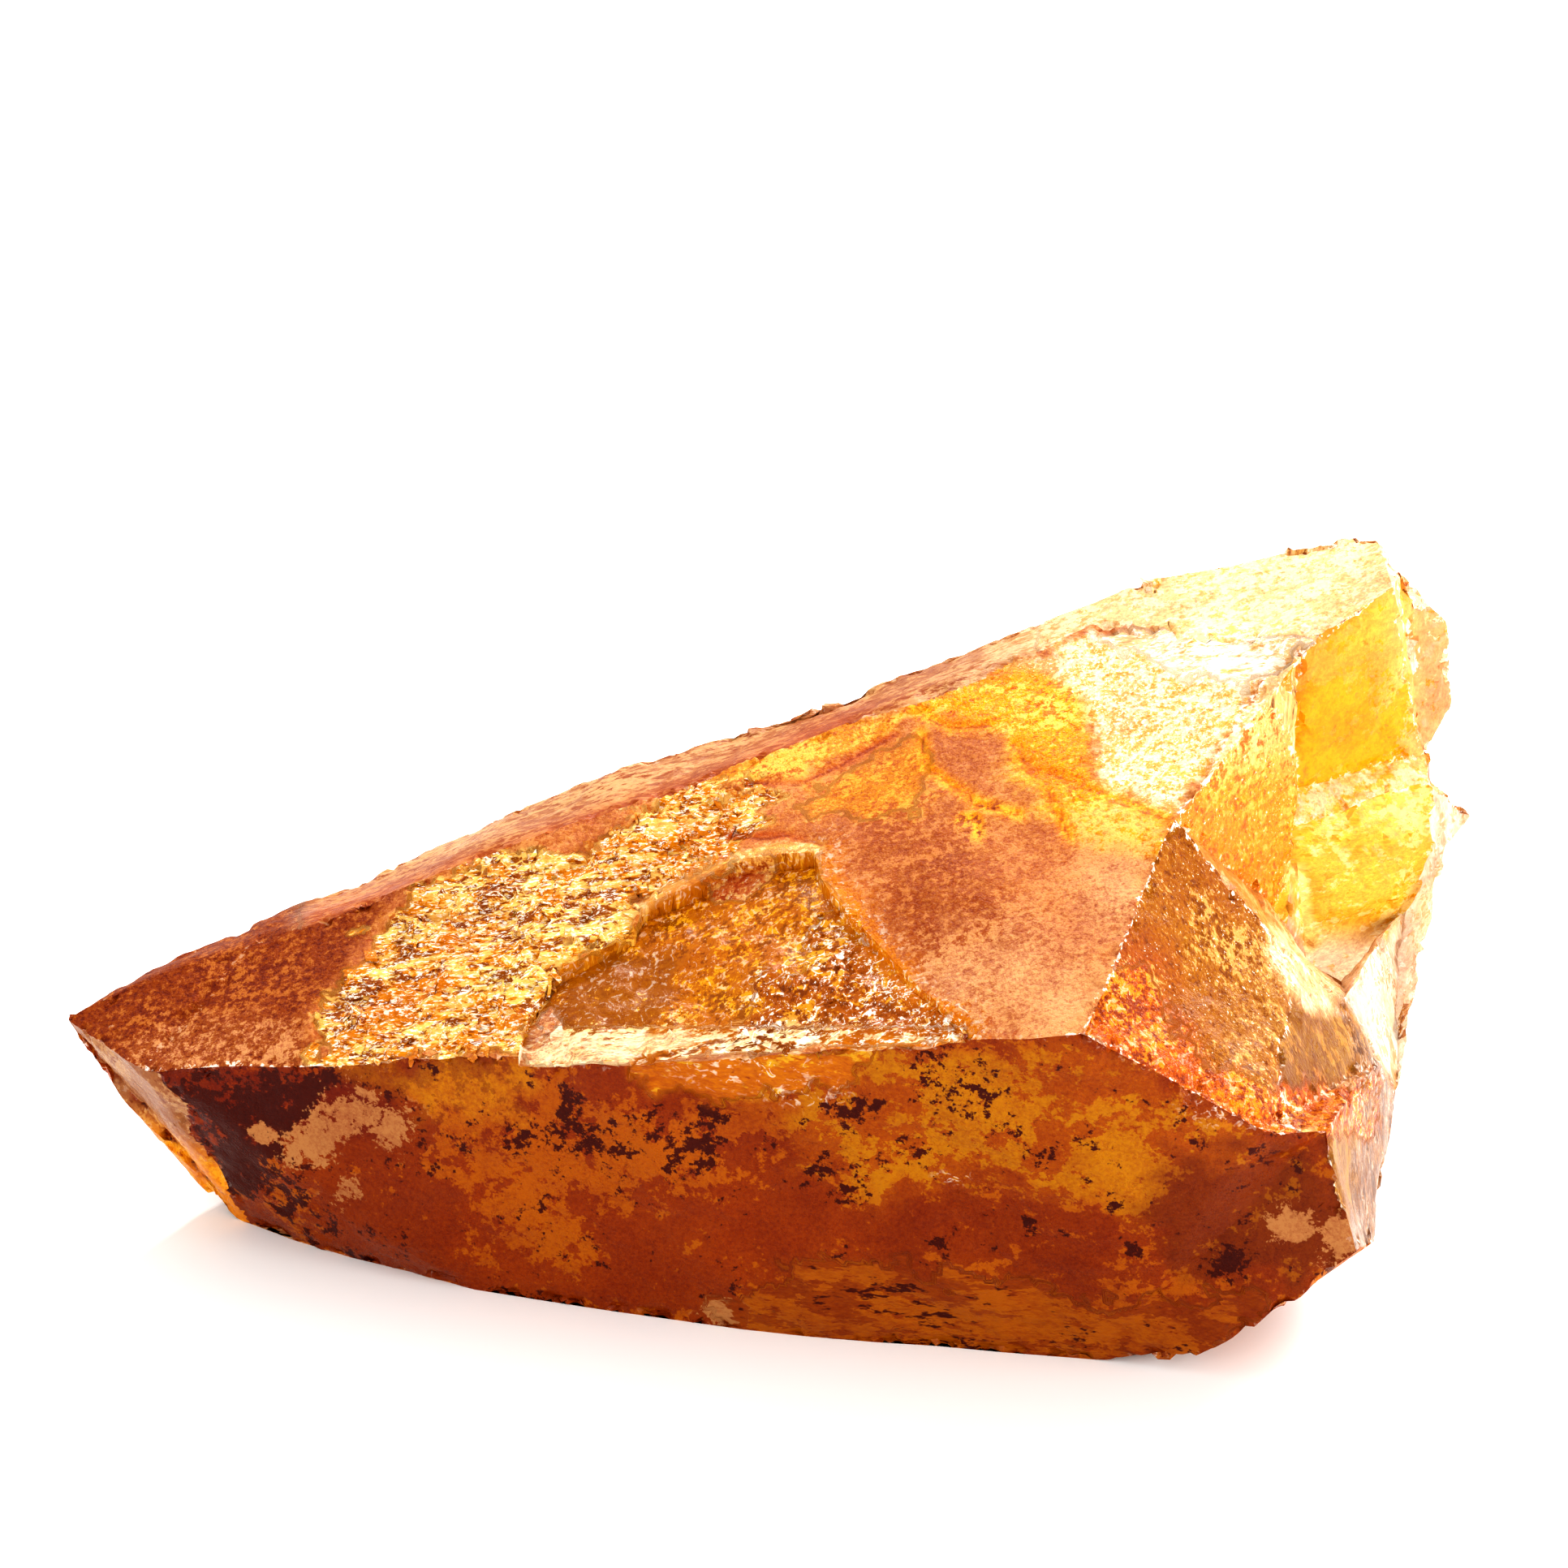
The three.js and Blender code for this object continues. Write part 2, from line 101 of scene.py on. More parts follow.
def inside(outline, at):
    """How deep points on the sheet lie inside an outline (+) or outside it (-), in mm."""
    corners = np.array(outline, float)
    nearest = np.full(len(at), np.inf)
    within = np.zeros(len(at), bool)
    for start, end in zip(corners, np.roll(corners, -1, axis=0)):
        side = end - start
        along = np.clip((at - start) @ side / (side @ side), 0, 1)
        nearest = np.minimum(nearest, np.linalg.norm(at - start - along[:, None] * side, axis=1))
        spans = (start[1] > at[:, 1]) != (end[1] > at[:, 1])
        rise = side[1] if side[1] else 1e-9
        within ^= spans & (at[:, 0] < start[0] + (at[:, 1] - start[1]) * side[0] / rise)
    return np.where(within, nearest, -nearest)


def beside(line, at):
    """How far points on the sheet lie from a line drawn through a few points, in mm."""
    corners = np.array(line, float)
    nearest = np.full(len(at), np.inf)
    for start, end in zip(corners, corners[1:]):
        side = end - start
        along = np.clip((at - start) @ side / (side @ side), 0, 1)
        nearest = np.minimum(nearest, np.linalg.norm(at - start - along[:, None] * side, axis=1))
    return nearest


# %% [markdown]
# ## Outlines traced on the sheet
# Each outline is the border of one look: the ground flaked into plates, the glassy hollow, the
# golden window and so on. They have only the corners they need. Their ragged edges come later
# from noise, because a real stain is never as straight as a line between two points.

# %% Outlines of the upper side
FLAKED = [
    (-33.8, -16.5), (-33.4, -20.8), (-30.4, -20.5), (-21.4, -19.6), (-18.8, -19.0), (-16.8, -15.7),
    (-15.7, -12.9), (-10.6, -11.1), (-10.3, -8.9), (-8.4, -7.5), (-5.0, -5.8), (-3.1, -4.4),
    (-1.3, -2.1), (0.1, -0.8), (-2.9, 0.2), (-6.9, 0.0), (-12.8, -3.8), (-19.4, -5.1),
    (-26.2, -7.1), (-28.7, -9.5), (-30.4, -12.6),
]
HOLLOW = [
    (-18.6, -18.7), (-16.8, -15.7), (-15.7, -12.9), (-10.6, -11.1), (-10.2, -8.8), (-8.4, -7.5),
    (-5.0, -5.9), (-0.6, -4.6), (2.7, -4.4), (2.7, -6.9), (4.7, -8.8), (6.2, -11.3), (8.3, -13.9),
    (10.1, -15.7), (12.7, -16.5), (13.2, -18.4), (2.3, -18.8), (-4.4, -19.3), (-11.3, -20.0),
    (-15.4, -20.6), (-18.3, -20.2),
]
TIP = [
    (-55.0, -25.1), (-33.4, -21.0), (-33.8, -16.5), (-30.4, -12.6), (-28.7, -9.5), (-26.2, -7.1),
    (-25.8, -4.3), (-55.0, -2.0),
]
TIP_RIM = [
    (-47.2, -19.3), (-44.3, -17.1), (-37.3, -16.7), (-33.6, -17.1), (-33.3, -21.0), (-45.4, -20.9),
]
BOWL = [
    (-16.5, -17.1), (-16.3, -14.4), (-14.2, -13.1), (-10.2, -11.8), (-7.9, -12.4), (-7.3, -15.0),
    (-9.6, -17.5), (-13.6, -17.9),
]
PINK_SCRAP = [
    (-5.2, -8.8), (-6.0, -6.9), (-4.7, -5.3), (-1.5, -4.9), (-0.5, -5.5), (-0.9, -7.2), (-2.9, -7.9),
]
CREAM_RIM = [
    (-18.3, -20.2), (-17.2, -17.1), (-16.0, -18.0), (-12.5, -18.4), (-10.2, -17.5), (-7.3, -17.7),
    (-6.7, -18.4), (-10.2, -19.4), (-13.1, -21.0), (-15.4, -20.8),
]
PINK_CORNER = [(-18.6, -19.6), (-18.0, -17.6), (-16.6, -16.1), (-16.0, -17.9), (-17.2, -19.3)]
GOLDEN_CHIP = [
    (-11.5, -19.7), (-4.4, -19.0), (2.3, -18.7), (6.2, -18.8), (5.4, -21.0), (2.0, -21.9),
    (-3.8, -22.3), (-6.7, -22.3), (-9.6, -21.6),
]
WET = [
    (-3.5, -18.7), (-2.1, -14.1), (1.1, -12.9), (2.5, -9.5), (4.9, -9.2), (6.9, -12.4),
    (10.1, -15.7), (12.9, -16.7), (13.4, -18.7),
]
ORANGE_TOP = [
    (-6.9, -0.1), (-3.5, 2.1), (2.5, 4.3), (8.6, 5.0), (7.9, 3.6), (4.6, 1.7), (1.6, 0.2),
    (-2.7, -0.1),
]
ORANGE_FAN = [
    (-0.3, -2.3), (4.6, 1.2), (9.5, 3.5), (10.2, 0.9), (10.6, -1.1), (8.9, -2.0), (5.6, -2.3),
]
GOLD = [
    (8.3, 4.7), (12.4, 7.0), (15.5, 8.3), (18.7, 7.9), (21.3, 6.0), (21.9, 3.5), (21.9, 0.3),
    (22.8, -1.1), (19.3, -1.1), (17.1, 1.8), (15.5, 3.5), (11.8, 4.4),
]
PALE = [
    (15.8, 8.4), (21.0, 10.4), (34.3, 10.5), (37.9, 10.1), (34.0, 7.6), (30.3, 1.7), (28.8, -1.1),
    (27.4, -2.2), (22.8, -0.7), (21.9, 3.5), (21.3, 6.0), (18.7, 7.7),
]
WRINKLED = [
    (21.6, 11.0), (28.0, 11.4), (34.3, 11.0), (37.9, 11.0), (40.2, 11.3), (34.3, 7.4),
    (32.6, 6.7), (28.6, 8.3), (23.9, 9.6),
]
YELLOWED = [
    (16.4, 3.5), (17.1, 1.8), (19.3, -1.1), (22.8, -1.1), (27.4, -2.2), (27.4, -4.9),
    (21.0, -4.3), (18.7, -2.0), (15.8, 0.3),
]
print("outlines on the upper side: flaked ground has", len(FLAKED), "corners")

# %% Outlines of the front and the broken end
DARK_BROW = [
    (-45.4, -20.3), (-34.3, -20.2), (-31.0, -21.3), (-26.9, -21.9), (-27.5, -25.1), (-29.8, -25.1),
    (-32.7, -24.2), (-35.6, -25.1), (-36.8, -26.8), (-38.5, -28.6), (-40.7, -28.0), (-42.8, -25.1),
]
UNDER_FLAKES = [
    (-31.6, -20.5), (-21.2, -19.5), (-18.0, -20.3), (-18.8, -23.4), (-23.5, -23.9), (-28.7, -22.2),
]
AMBER_FLANK = [
    (0.8, -19.3), (21.3, -18.7), (28.0, -21.6), (34.3, -25.7), (34.3, -30.9), (25.1, -30.9),
    (16.4, -28.6), (7.7, -29.1), (0.8, -27.4),
]
RED_FLANK = [
    (-23.5, -26.8), (-15.4, -29.1), (-6.1, -29.1), (2.5, -30.3), (7.2, -33.2), (2.0, -36.6),
    (-15.4, -37.2), (-23.5, -35.5),
]
HEEL = [
    (28.0, -26.2), (36.6, -25.7), (42.4, -30.9), (41.8, -34.3), (36.6, -35.5), (28.0, -34.3),
    (25.1, -29.7),
]
FOOT = [
    (-5.0, -36.6), (2.0, -34.3), (13.5, -34.9), (25.1, -36.6), (34.3, -36.6), (28.6, -42.0),
    (13.5, -42.0), (-3.8, -39.5),
]
RUSTY_SKIRT = [
    (21.3, -17.9), (22.2, -13.5), (25.1, -12.4), (27.4, -15.3), (29.1, -19.3), (34.3, -21.6),
    (42.4, -21.0), (41.3, -25.1), (34.5, -25.1), (28.2, -22.2), (23.9, -20.6),
]
BOW_EDGE = [
    (-56.0, -15.0), (-51.0, -16.9), (-49.2, -18.6), (-39.0, -30.6), (-39.0, -34.0), (-56.0, -34.0),
]
CLEAR_FACE = [
    (39.5, -14.6), (41.0, -13.1), (44.0, -9.6), (45.5, -7.0), (49.0, -5.0), (48.0, -20.0),
    (43.6, -21.6), (42.2, -19.6), (41.0, -17.5), (40.0, -15.6),
]
BROWN_GLASS = [
    (39.9, -15.4), (41.0, -17.5), (42.2, -19.6), (43.6, -21.6), (47.0, -20.5), (46.0, -38.0),
    (40.0, -38.0), (40.8, -24.0), (40.6, -20.0),
]
NOTCH_FOOT = [(35.8, -5.6), (37.2, -6.0), (38.2, -11.6), (37.1, -12.2), (36.2, -9.4)]
CREAM_WEDGE = [
    (34.6, -9.6), (36.8, -11.2), (38.0, -12.6), (39.9, -14.6), (38.6, -16.4), (36.2, -15.8),
    (35.2, -13.9), (34.4, -12.0),
]
print("outlines on the front: the red flank has", len(RED_FLANK), "corners")

# %% Lines on the stone
RIDGE = [
    (-36.8, -10.6), (-25.8, -6.9), (-15.4, -3.1), (-5.5, 0.2), (2.5, 3.8), (16.4, 8.9), (21.0, 11.0),
]
KEEL = [
    (-45.4, -20.3), (-34.3, -20.2), (-25.3, -20.2), (-21.4, -19.5), (-18.8, -19.3), (-15.4, -20.6),
    (-4.4, -19.0), (2.3, -18.6), (12.7, -18.3), (21.3, -17.9),
]
BREAK_EDGE = [
    (43.2, 15.6), (42.4, 13.4), (40.1, 11.3), (37.7, 9.9), (33.9, 7.6), (30.3, 1.7), (28.0, -2.8),
    (24.9, -8.3), (23.9, -12.4), (21.3, -17.9),
]
RUSTY_CRACKS = [
    [(-2.7, 0.0), (1.6, 0.2), (4.6, 1.7), (7.9, 3.6)],
    [(-4.0, -3.6), (0.3, -3.7), (2.6, -4.4)],
]
GOLDEN_CRACKS = [
    [(9.8, 3.6), (10.1, 1.3), (11.9, 0.0), (13.7, -1.3), (16.8, -2.2)],
    [(16.4, 3.0), (16.9, 1.5), (18.2, 0.5), (19.4, -1.8), (20.3, -3.7)],
    [(16.9, 1.5), (21.0, -0.1), (23.9, -1.1), (27.4, -2.4)],
    [(9.1, 5.5), (11.8, 4.0), (14.7, 4.3)],
    [(12.7, -2.6), (13.7, -2.3), (13.8, -3.6)],
]
HOLLOW_BROW = [(-10.3, -9.0), (-8.4, -7.5), (-5.0, -5.9), (-1.0, -4.6), (2.7, -4.4)]
CRACKS = RUSTY_CRACKS + GOLDEN_CRACKS
print("cracks:", len(CRACKS))

# %% [markdown]
# ## A finer copy of the solid
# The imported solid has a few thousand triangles, too few for grains and flakes. Two ways to get
# more are a voxel remesh, which is even but rounds every crystal edge, and halving long edges
# again and again, which keeps the edges sharp and can be fine only where it is looked at.
# The second is used. The CAD mesh itself isn't touched: a copy is merged and then divided.

# %% Divide
LONGEST = {"flaked": 0.45, "shown": 0.58, "hidden": 1.0, "base": 4.0}
DIVISIONS = 5
SAME_POINT = 0.001
FINE_MARGIN = 0.5  # how far past their outlines the flaked ground and the hollow stay fine
LOOKS_DOWN = -0.99  # the upward part of a normal that counts as resting on the table


def wanted_length(middle, normal):
    """Longest edge allowed at a place, by what is seen there."""
    sheet = on_sheet(middle)
    fine = np.maximum(inside(FLAKED, sheet), inside(HOLLOW, sheet)) > -FINE_MARGIN
    facing = ((EYE - middle) * normal).sum(axis=1) > 0
    length = np.where(facing, LONGEST["shown"], LONGEST["hidden"])
    length = np.where(facing & fine, LONGEST["flaked"], length)
    return np.where(normal[:, 2] < LOOKS_DOWN, LONGEST["base"], length)


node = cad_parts["calcite_point"]
body = bmesh.new()
body.from_mesh(node.data)
bmesh.ops.remove_doubles(body, verts=body.verts, dist=SAME_POINT * MM)
for _ in range(DIVISIONS):
    edges = list(body.edges)
    ends = np.array([[*edge.verts[0].co, *edge.verts[1].co] for edge in edges]) / MM
    normal = np.array([edge.link_faces[0].normal for edge in edges])
    length = np.linalg.norm(ends[:, 3:] - ends[:, :3], axis=1)
    too_long = length > wanted_length((ends[:, :3] + ends[:, 3:]) / 2, normal)
    chosen = list(itertools.compress(edges, too_long))
    bmesh.ops.subdivide_edges(body, edges=chosen, cuts=1, use_grid_fill=True)
    bmesh.ops.triangulate(body, faces=[face for face in body.faces if len(face.verts) > 3])
    body.normal_update()

place = np.array([vertex.co for vertex in body.verts]) / MM
body.verts.index_update()
tris = np.array([[vertex.index for vertex in face.verts] for face in body.faces])
body.free()
print("points:", len(place), "triangles:", len(tris))

# %% [markdown]
# ## Flat faces, sharp edges
# Dividing alone leaves the low facets of the solid visible in every highlight. An ordinary
# smooth would take them out and the crystal's edges with them. So the face normals are averaged
# first, each only with neighbours that look nearly the same way, and then the points are moved
# to agree with those normals. Flat ground gets flatter and edges stay where they are.

# %% Flatten
SAME_FACE = 0.18
NORMAL_PASSES = 60
POINT_PASSES = 25
RESTING_BELOW = 0.01


def unit(vectors):
    """The same directions, each one long."""
    return vectors / np.maximum(np.linalg.norm(vectors, axis=-1, keepdims=True), 1e-12)


def slopes(at):
    """Normal times doubled area of each triangle."""
    a, b, c = at[tris[:, 0]], at[tris[:, 1]], at[tris[:, 2]]
    return np.cross(b - a, c - a)


def gather(values):
    """Adds up a value for each triangle corner on the points."""
    total = np.zeros((len(place), values.shape[-1]))
    for axis in range(values.shape[-1]):
        total[:, axis] = np.bincount(tris.ravel(), values[..., axis].ravel(), len(place))
    return total


def point_normals(at):
    """Where the surface looks at each point."""
    return unit(gather(np.repeat(slopes(at)[:, None], 3, axis=1)))


sides = np.sort(np.concatenate([tris[:, [0, 1]], tris[:, [1, 2]], tris[:, [2, 0]]]), axis=1)
pairs = np.argsort(sides[:, 0] * len(place) + sides[:, 1], kind="stable").reshape(-1, 2)
partner = np.empty(len(sides), int)
partner[pairs[:, 0]] = pairs[:, 1]
partner[pairs[:, 1]] = pairs[:, 0]
across = (partner % len(tris)).reshape(3, -1).T

steep = slopes(place)
size = np.linalg.norm(steep, axis=1)
facing = unit(steep)
for _ in range(NORMAL_PASSES):
    beyond = facing[across]
    likeness = np.exp(-((beyond - facing[:, None]) ** 2).sum(axis=2) / (2 * SAME_FACE**2))
    share = likeness * size[across]
    facing = unit(facing * size[:, None] + (beyond * share[..., None]).sum(axis=1))

resting = place[:, 2] < RESTING_BELOW
uses = np.bincount(tris.ravel(), minlength=len(place))[:, None]
before = place.copy()
for _ in range(POINT_PASSES):
    centre = place[tris].mean(axis=1)
    lift = ((centre[:, None] - place[tris]) * facing[:, None]).sum(axis=2)
    move = gather(lift[..., None] * facing[:, None]) / uses
    move[resting] = 0
    place = place + move
print("furthest a point moved, mm:", np.linalg.norm(place - before, axis=1).max().round(2))

# %% [markdown]
# ## Naming the faces
# A crystal's faces are told apart by where they look. Each is listed with the compass bearing
# and the tilt it looks to and one point on it. Every triangle takes the name of the face that
# it fits best, and a few rounds of voting between neighbours tidy the borders.

# %% Faces of the crystal
FACES = [
    ("upper", -134, 66, (1, -3, 31)),
    ("shoulder", 157, 67, (-37, 6, 21)),
    ("shoulder", 169, 69, (-12, 10, 30)),
    ("shoulder", 159, 68, (11, 12, 38)),
    ("shoulder", -160, 73, (30, 11, 44)),
    ("shoulder", -162, 73, (43, 12, 48)),
    ("front", -114, -16, (-35, -8, 8)),
    ("front", -105, -5, (-17, -15, 12)),
    ("front", -102, -8, (9, -21, 13)),
    ("front", -96, -8, (32, -25, 13)),
    ("bow", -132, -22, (-46, -2, 8)),
    ("speckled", -42, 44, (31, -19, 29)),
    ("strip", -26, 16, (36, -2, 35)),
    ("high wall", -62, -6, (43, 5, 41)),
    ("lobe", -37, 9, (49, 10, 41)),
    ("ledge", -62, 58, (44, 6, 33)),
    ("low wall", -64, 8, (45, 4, 25)),
    ("spur", -76, 16, (51, 7, 29)),
    ("clear", -37, 58, (47, -1, 20)),
    ("wedge", 8, 42, (39, -6, 23)),
    ("tan", -18, 20, (41, -17, 17)),
    ("far end", 11, 8, (46, 14, 43)),
    ("far end", 53, 21, (49, 15, 38)),
    ("far end", 12, 0, (50, 12, 31)),
    ("far end", 14, -26, (45, 7, 15)),
    ("underside", -15, -50, (41, -14, 8)),
    ("underside", -25, -61, (32, -17, 2)),
    ("back above", 124, 12, (-43, 7, 16)),
    ("back above", 115, 19, (-27, 14, 20)),
    ("back above", 108, 34, (0, 18, 29)),
    ("back above", 93, 27, (34, 19, 40)),
    ("back below", 76, -19, (32, 22, 13)),
    ("back below", 97, -22, (5, 22, 10)),
    ("back below", 108, -24, (-24, 14, 7)),
    ("back below", 138, -31, (-44, 2, 6)),
    ("underside", 0, -90, (3, -1, 0)),
]
OFF_PLANE = 0.05  # what a millimetre off a face's plane costs, against the match of direction
VOTES = 6
OWN_VOTE = 0.5  # how much more a triangle's own name counts than a neighbour's
SURELY_IN, SURELY_OUT = 0.6, -0.3  # mm from the upper face's border

names = sorted({row[0] for row in FACES})
bearing, tilt = np.radians([[row[1], row[2]] for row in FACES]).T
looks_to = np.stack([np.cos(tilt) * np.cos(bearing), np.cos(tilt) * np.sin(bearing), np.sin(tilt)], 1)
through = np.array([row[3] for row in FACES], float)
middle = place[tris].mean(axis=1)
off_plane = np.abs(middle @ looks_to.T - (looks_to * through).sum(axis=1))
best = np.argmax(facing @ looks_to.T - OFF_PLANE * off_plane, axis=1)
face_of = np.array([names.index(row[0]) for row in FACES])[best]
for _ in range(VOTES):
    ballots = np.concatenate([face_of[across], face_of[:, None]], axis=1)
    agree = (ballots[:, :, None] == ballots[:, None]).sum(axis=2)
    face_of = ballots[np.arange(len(ballots)), np.argmax(agree + [0, 0, 0, OWN_VOTE], axis=1)]
UPPER_BORDER = RIDGE[:-1] + [(21.0, 11.0), (37.0, 10.6)] + BREAK_EDGE[3:] + KEEL[::-1][1:]
set_in = inside(UPPER_BORDER, on_sheet(middle))
seen = ((EYE - middle) * facing).sum(axis=1) > 0
face_of[(set_in > SURELY_IN) & seen] = names.index("upper")
over_ridge = (set_in < SURELY_OUT) & seen
face_of[over_ridge & (face_of == names.index("upper"))] = names.index("shoulder")
for number, name in enumerate(names):
    area = size[face_of == number].sum() / 2
    print(f"{name:12s}{area:8.0f} mm2")

# %% [markdown]
# ## Unevenness that repeats exactly
# Nothing on a stone is regular, yet this script has to make the same stone every time. Instead
# of random numbers, each cube of space is hashed to a number of its own. Blended between the
# cubes it gives smooth unevenness; taken as it is, it gives every broken plate its own height.


# %% Noise
def hashed(cell, salt):
    """One number from 0 to 1 for each cell of space, always the same for the same cell.

    The long odd numbers mean nothing: multiplying by them only stirs the bits.
    """
    x, y, z = np.moveaxis(cell.astype(np.int64).astype(np.uint64), -1, 0)
    mixed = x * np.uint64(374761393) ^ y * np.uint64(668265263) ^ z * np.uint64(974634777)
    mixed = (mixed ^ np.uint64(salt * 1274126177 + 7)) * np.uint64(2246822519)
    mixed = (mixed ^ (mixed >> np.uint64(15))) * np.uint64(3266489917)
    mixed = mixed ^ (mixed >> np.uint64(17))
    return (mixed & np.uint64(0xFFFFFF)).astype(float) / 0xFFFFFF


def uneven(at, span, salt=0, stretch=(1, 1, 1)):
    """Smooth unevenness from -1 to 1 that changes over `span` mm, longer along a stretch."""
    p = at / (span * np.array(stretch))
    cell = np.floor(p)
    ease = (p - cell) ** 2 * (3 - 2 * (p - cell))
    total = np.zeros(len(at))
    for corner in itertools.product((0, 1), repeat=3):
        weight = np.prod(np.where(corner, ease, 1 - ease), axis=1)
        total += weight * hashed(cell + corner, salt)
    return 2 * total - 1


def rough(at, span, salt=0, stretch=(1, 1, 1)):
    """Unevenness in four sizes, each half the last."""
    return sum(uneven(at, span / 2**k, salt + k, stretch) * 0.55**k for k in range(4))


def plates(at, span, salt, stretch=(1, 1, 1)):
    """Height from -1 to 1 of irregular plates about `span` mm wide, each with a lean of its own."""
    p = at / (span * np.array(stretch))
    home = np.floor(p)
    nearest = np.full(len(at), np.inf)
    height = np.zeros(len(at))
    for offset in itertools.product((-1, 0, 1), repeat=3):
        cell = home + offset
        own = [hashed(cell, salt + k) for k in range(7)]
        away = p - cell - np.stack(own[:3], axis=1)
        distance = np.linalg.norm(away, axis=1)
        lean = sum((own[3 + k] - 0.5) * away[:, k] for k in range(3))
        closer = distance < nearest
        nearest = np.where(closer, distance, nearest)
        height = np.where(closer, 2 * own[6] - 1 + 2 * lean, height)
    return height


def ramp(low, high, value):
    """0 below `low`, 1 above `high`, and an even curve between."""
    t = np.clip((value - low) / (high - low), 0, 1)
    return t * t * (3 - 2 * t)


def near(distance, reach):
    """1 where the distance is nothing, and almost 0 from two reaches on."""
    return np.exp(-((distance / reach) ** 2))


sample = uneven(place[:2000], 5)
print("noise runs from", sample.min().round(2), "to", sample.max().round(2))

# %% [markdown]
# ## Relief
# What stands proud or lies deep by a tenth of a millimetre or more is real geometry: plates
# lifted off the flaked ground, shells in the hollow, wrinkles at the broken edge, cracks, and
# the terraces cleavage leaves. Each kind is worked out for all points and then kept only where
# its outline is. Points move along their normals, and those that rest on the table stay there.

# %% Where each look is
sheet = on_sheet(place)
ragged = rough(place, 1.6, 40) * 0.8
share = gather((face_of[:, None, None] == np.arange(len(names))).astype(float).repeat(3, 1)) / uses
faces = dict(zip(names, share.T))


def within(outline, soft=0.35, frayed=1.0):
    """0 to 1 for every point: how far it is inside an outline with a frayed edge."""
    return ramp(-soft, soft, inside(outline, sheet) + frayed * ragged)


NO_CRACK = 9.0  # mm, further than any crack reaches
hollow = within(HOLLOW, 0.2, 0.35) * faces["upper"]
flaked = within(FLAKED, 0.3, 0.7) * faces["upper"] * (1 - hollow)
wet = within(WET, 1.2) * hollow
wrinkled = within(WRINKLED, 0.8) * np.maximum(faces["upper"], faces["shoulder"])
wavering = sheet + 0.25 * uneven(place, 1.1, 60)[:, None]
crack = np.min([beside(line, wavering) for line in CRACKS], axis=0)
crack = np.where(faces["upper"] > 0.5, crack, NO_CRACK)
broken = sum(faces[name] for name in ("strip", "high wall", "low wall", "ledge", "wedge", "lobe"))
back = sum(faces[name] for name in ("back above", "back below", "far end"))
print("points on flaked ground:", int(flaked.sum()), "in the hollow:", int(hollow.sum()))

# %% Raise and sink
ALONG = (2.2, 1, 1)
UPRIGHT = (1, 1, 3)

terraces = np.round(1.5 * rough(place, 7, 36, (2, 1, 1))) + 0.5 * plates(place, 2.2, 37, ALONG)
LAYERS = (  # where, height in mm, pattern
    (1, 0.05, rough(place, 0.9, 5)),
    (flaked, 0.34, plates(place, 1.5, 11, ALONG)),
    (flaked, 0.14, plates(place, 0.7, 21, ALONG)),
    (hollow, 0.28, uneven(place, 4.5, 31)),
    (hollow, 0.07, rough(place, 1.0, 32, UPRIGHT)),
    (wet, 0.35, np.abs(uneven(place, 1.5, 33, (1.6, 1.6, 1)))),
    (wet, 0.12, plates(place, 0.9, 34)),
    (wrinkled, 0.28, 0.5 - np.abs(rough(place, 2.4, 35, (1.8, 0.8, 1)))),
    (1, -0.14, near(crack, 0.3)),
    (faces["front"], 0.09, terraces),
    (faces["speckled"], 0.1, rough(place, 1.1, 38, (1, 1, 4))),
    (faces["clear"], 0.4, np.abs(rough(place, 1.8, 39, (0.8, 0.8, 5)))),
    (broken, 0.1, plates(place, 2.6, 45, (1, 2, 0.7))),
    (back, 0.16, plates(place, 3.2, 46, ALONG)),
    (back, 0.12, rough(place, 1.5, 47)),
)

relief = sum(where * high * pattern for where, high, pattern in LAYERS)
up_from = point_normals(place)
relief[resting] = 0
place = place + up_from * relief[:, None]
place[:, 2] = np.maximum(place[:, 2], 0)
print("relief, mm:", relief.min().round(2), "to", relief.max().round(2))

# %% Chip the edges
CHIP_DEPTH = 0.4
CHIP_REACH = 0.7


def distance_to(targets):
    """How far each point is from the nearest of some others, in mm."""
    tree = kdtree.KDTree(len(targets))
    for number, target in enumerate(targets):
        tree.insert(target, number)
    tree.balance()
    return np.array([tree.find(point)[2] for point in place])


border = np.unique(tris[(face_of[across] != face_of[:, None]).any(axis=1)])
edge = distance_to(place[border])
chips = np.clip(plates(place, 1.7, 51), 0, 1) * near(edge, CHIP_REACH)
chips[resting] = 0
place = place - point_normals(place) * CHIP_DEPTH * chips[:, None]
place[:, 2] = np.maximum(place[:, 2], 0)
print("points on the crystal's edges:", len(border))

# %% [markdown]
# ## Painting by place
# Honey calcite isn't one colour. Every place on it has a ground colour, patches of a second
# colour, stains of a third, and a say in how much of each shows, which way they run, how clear
# the stone is there and how rough. Some light is painted too: white glints and highlight lines,
# a glow where the broken end stays dark, and lighter paint on walls and corners in shade. They
# could be separate materials, but then every border would be a hard cut. Here they are painted
# into the mesh as named attributes, face by face and outline by outline, and one material reads
# them all.

# %% Brushes
LOOKS = {
    "ground": 3, "patch": 3, "stain": 3,
    "patching": 1, "staining": 1, "glitter": 1, "gloss": 1, "grain": 1,
    "along": 1, "upright": 1, "fine": 1, "worn": 1, "clear": 1, "wriggly": 1, "glow": 1,
}
looks = {name: np.zeros((*tris.shape, width)) for name, width in LOOKS.items()}
sheet = on_sheet(place)
lengthwise, height = sheet.T


def tone(red, green, blue):
    """A screen colour from 0 to 255 turned into an amount of light (the sRGB curve undone)."""
    part = np.array([red, green, blue]) / 255
    return np.where(part < 0.04045, part / 12.92, ((part + 0.055) / 1.055) ** 2.4)


def on(*wanted):
    """1 on the triangles of the named faces."""
    return np.isin(face_of, [names.index(name) for name in wanted])[:, None].astype(float)


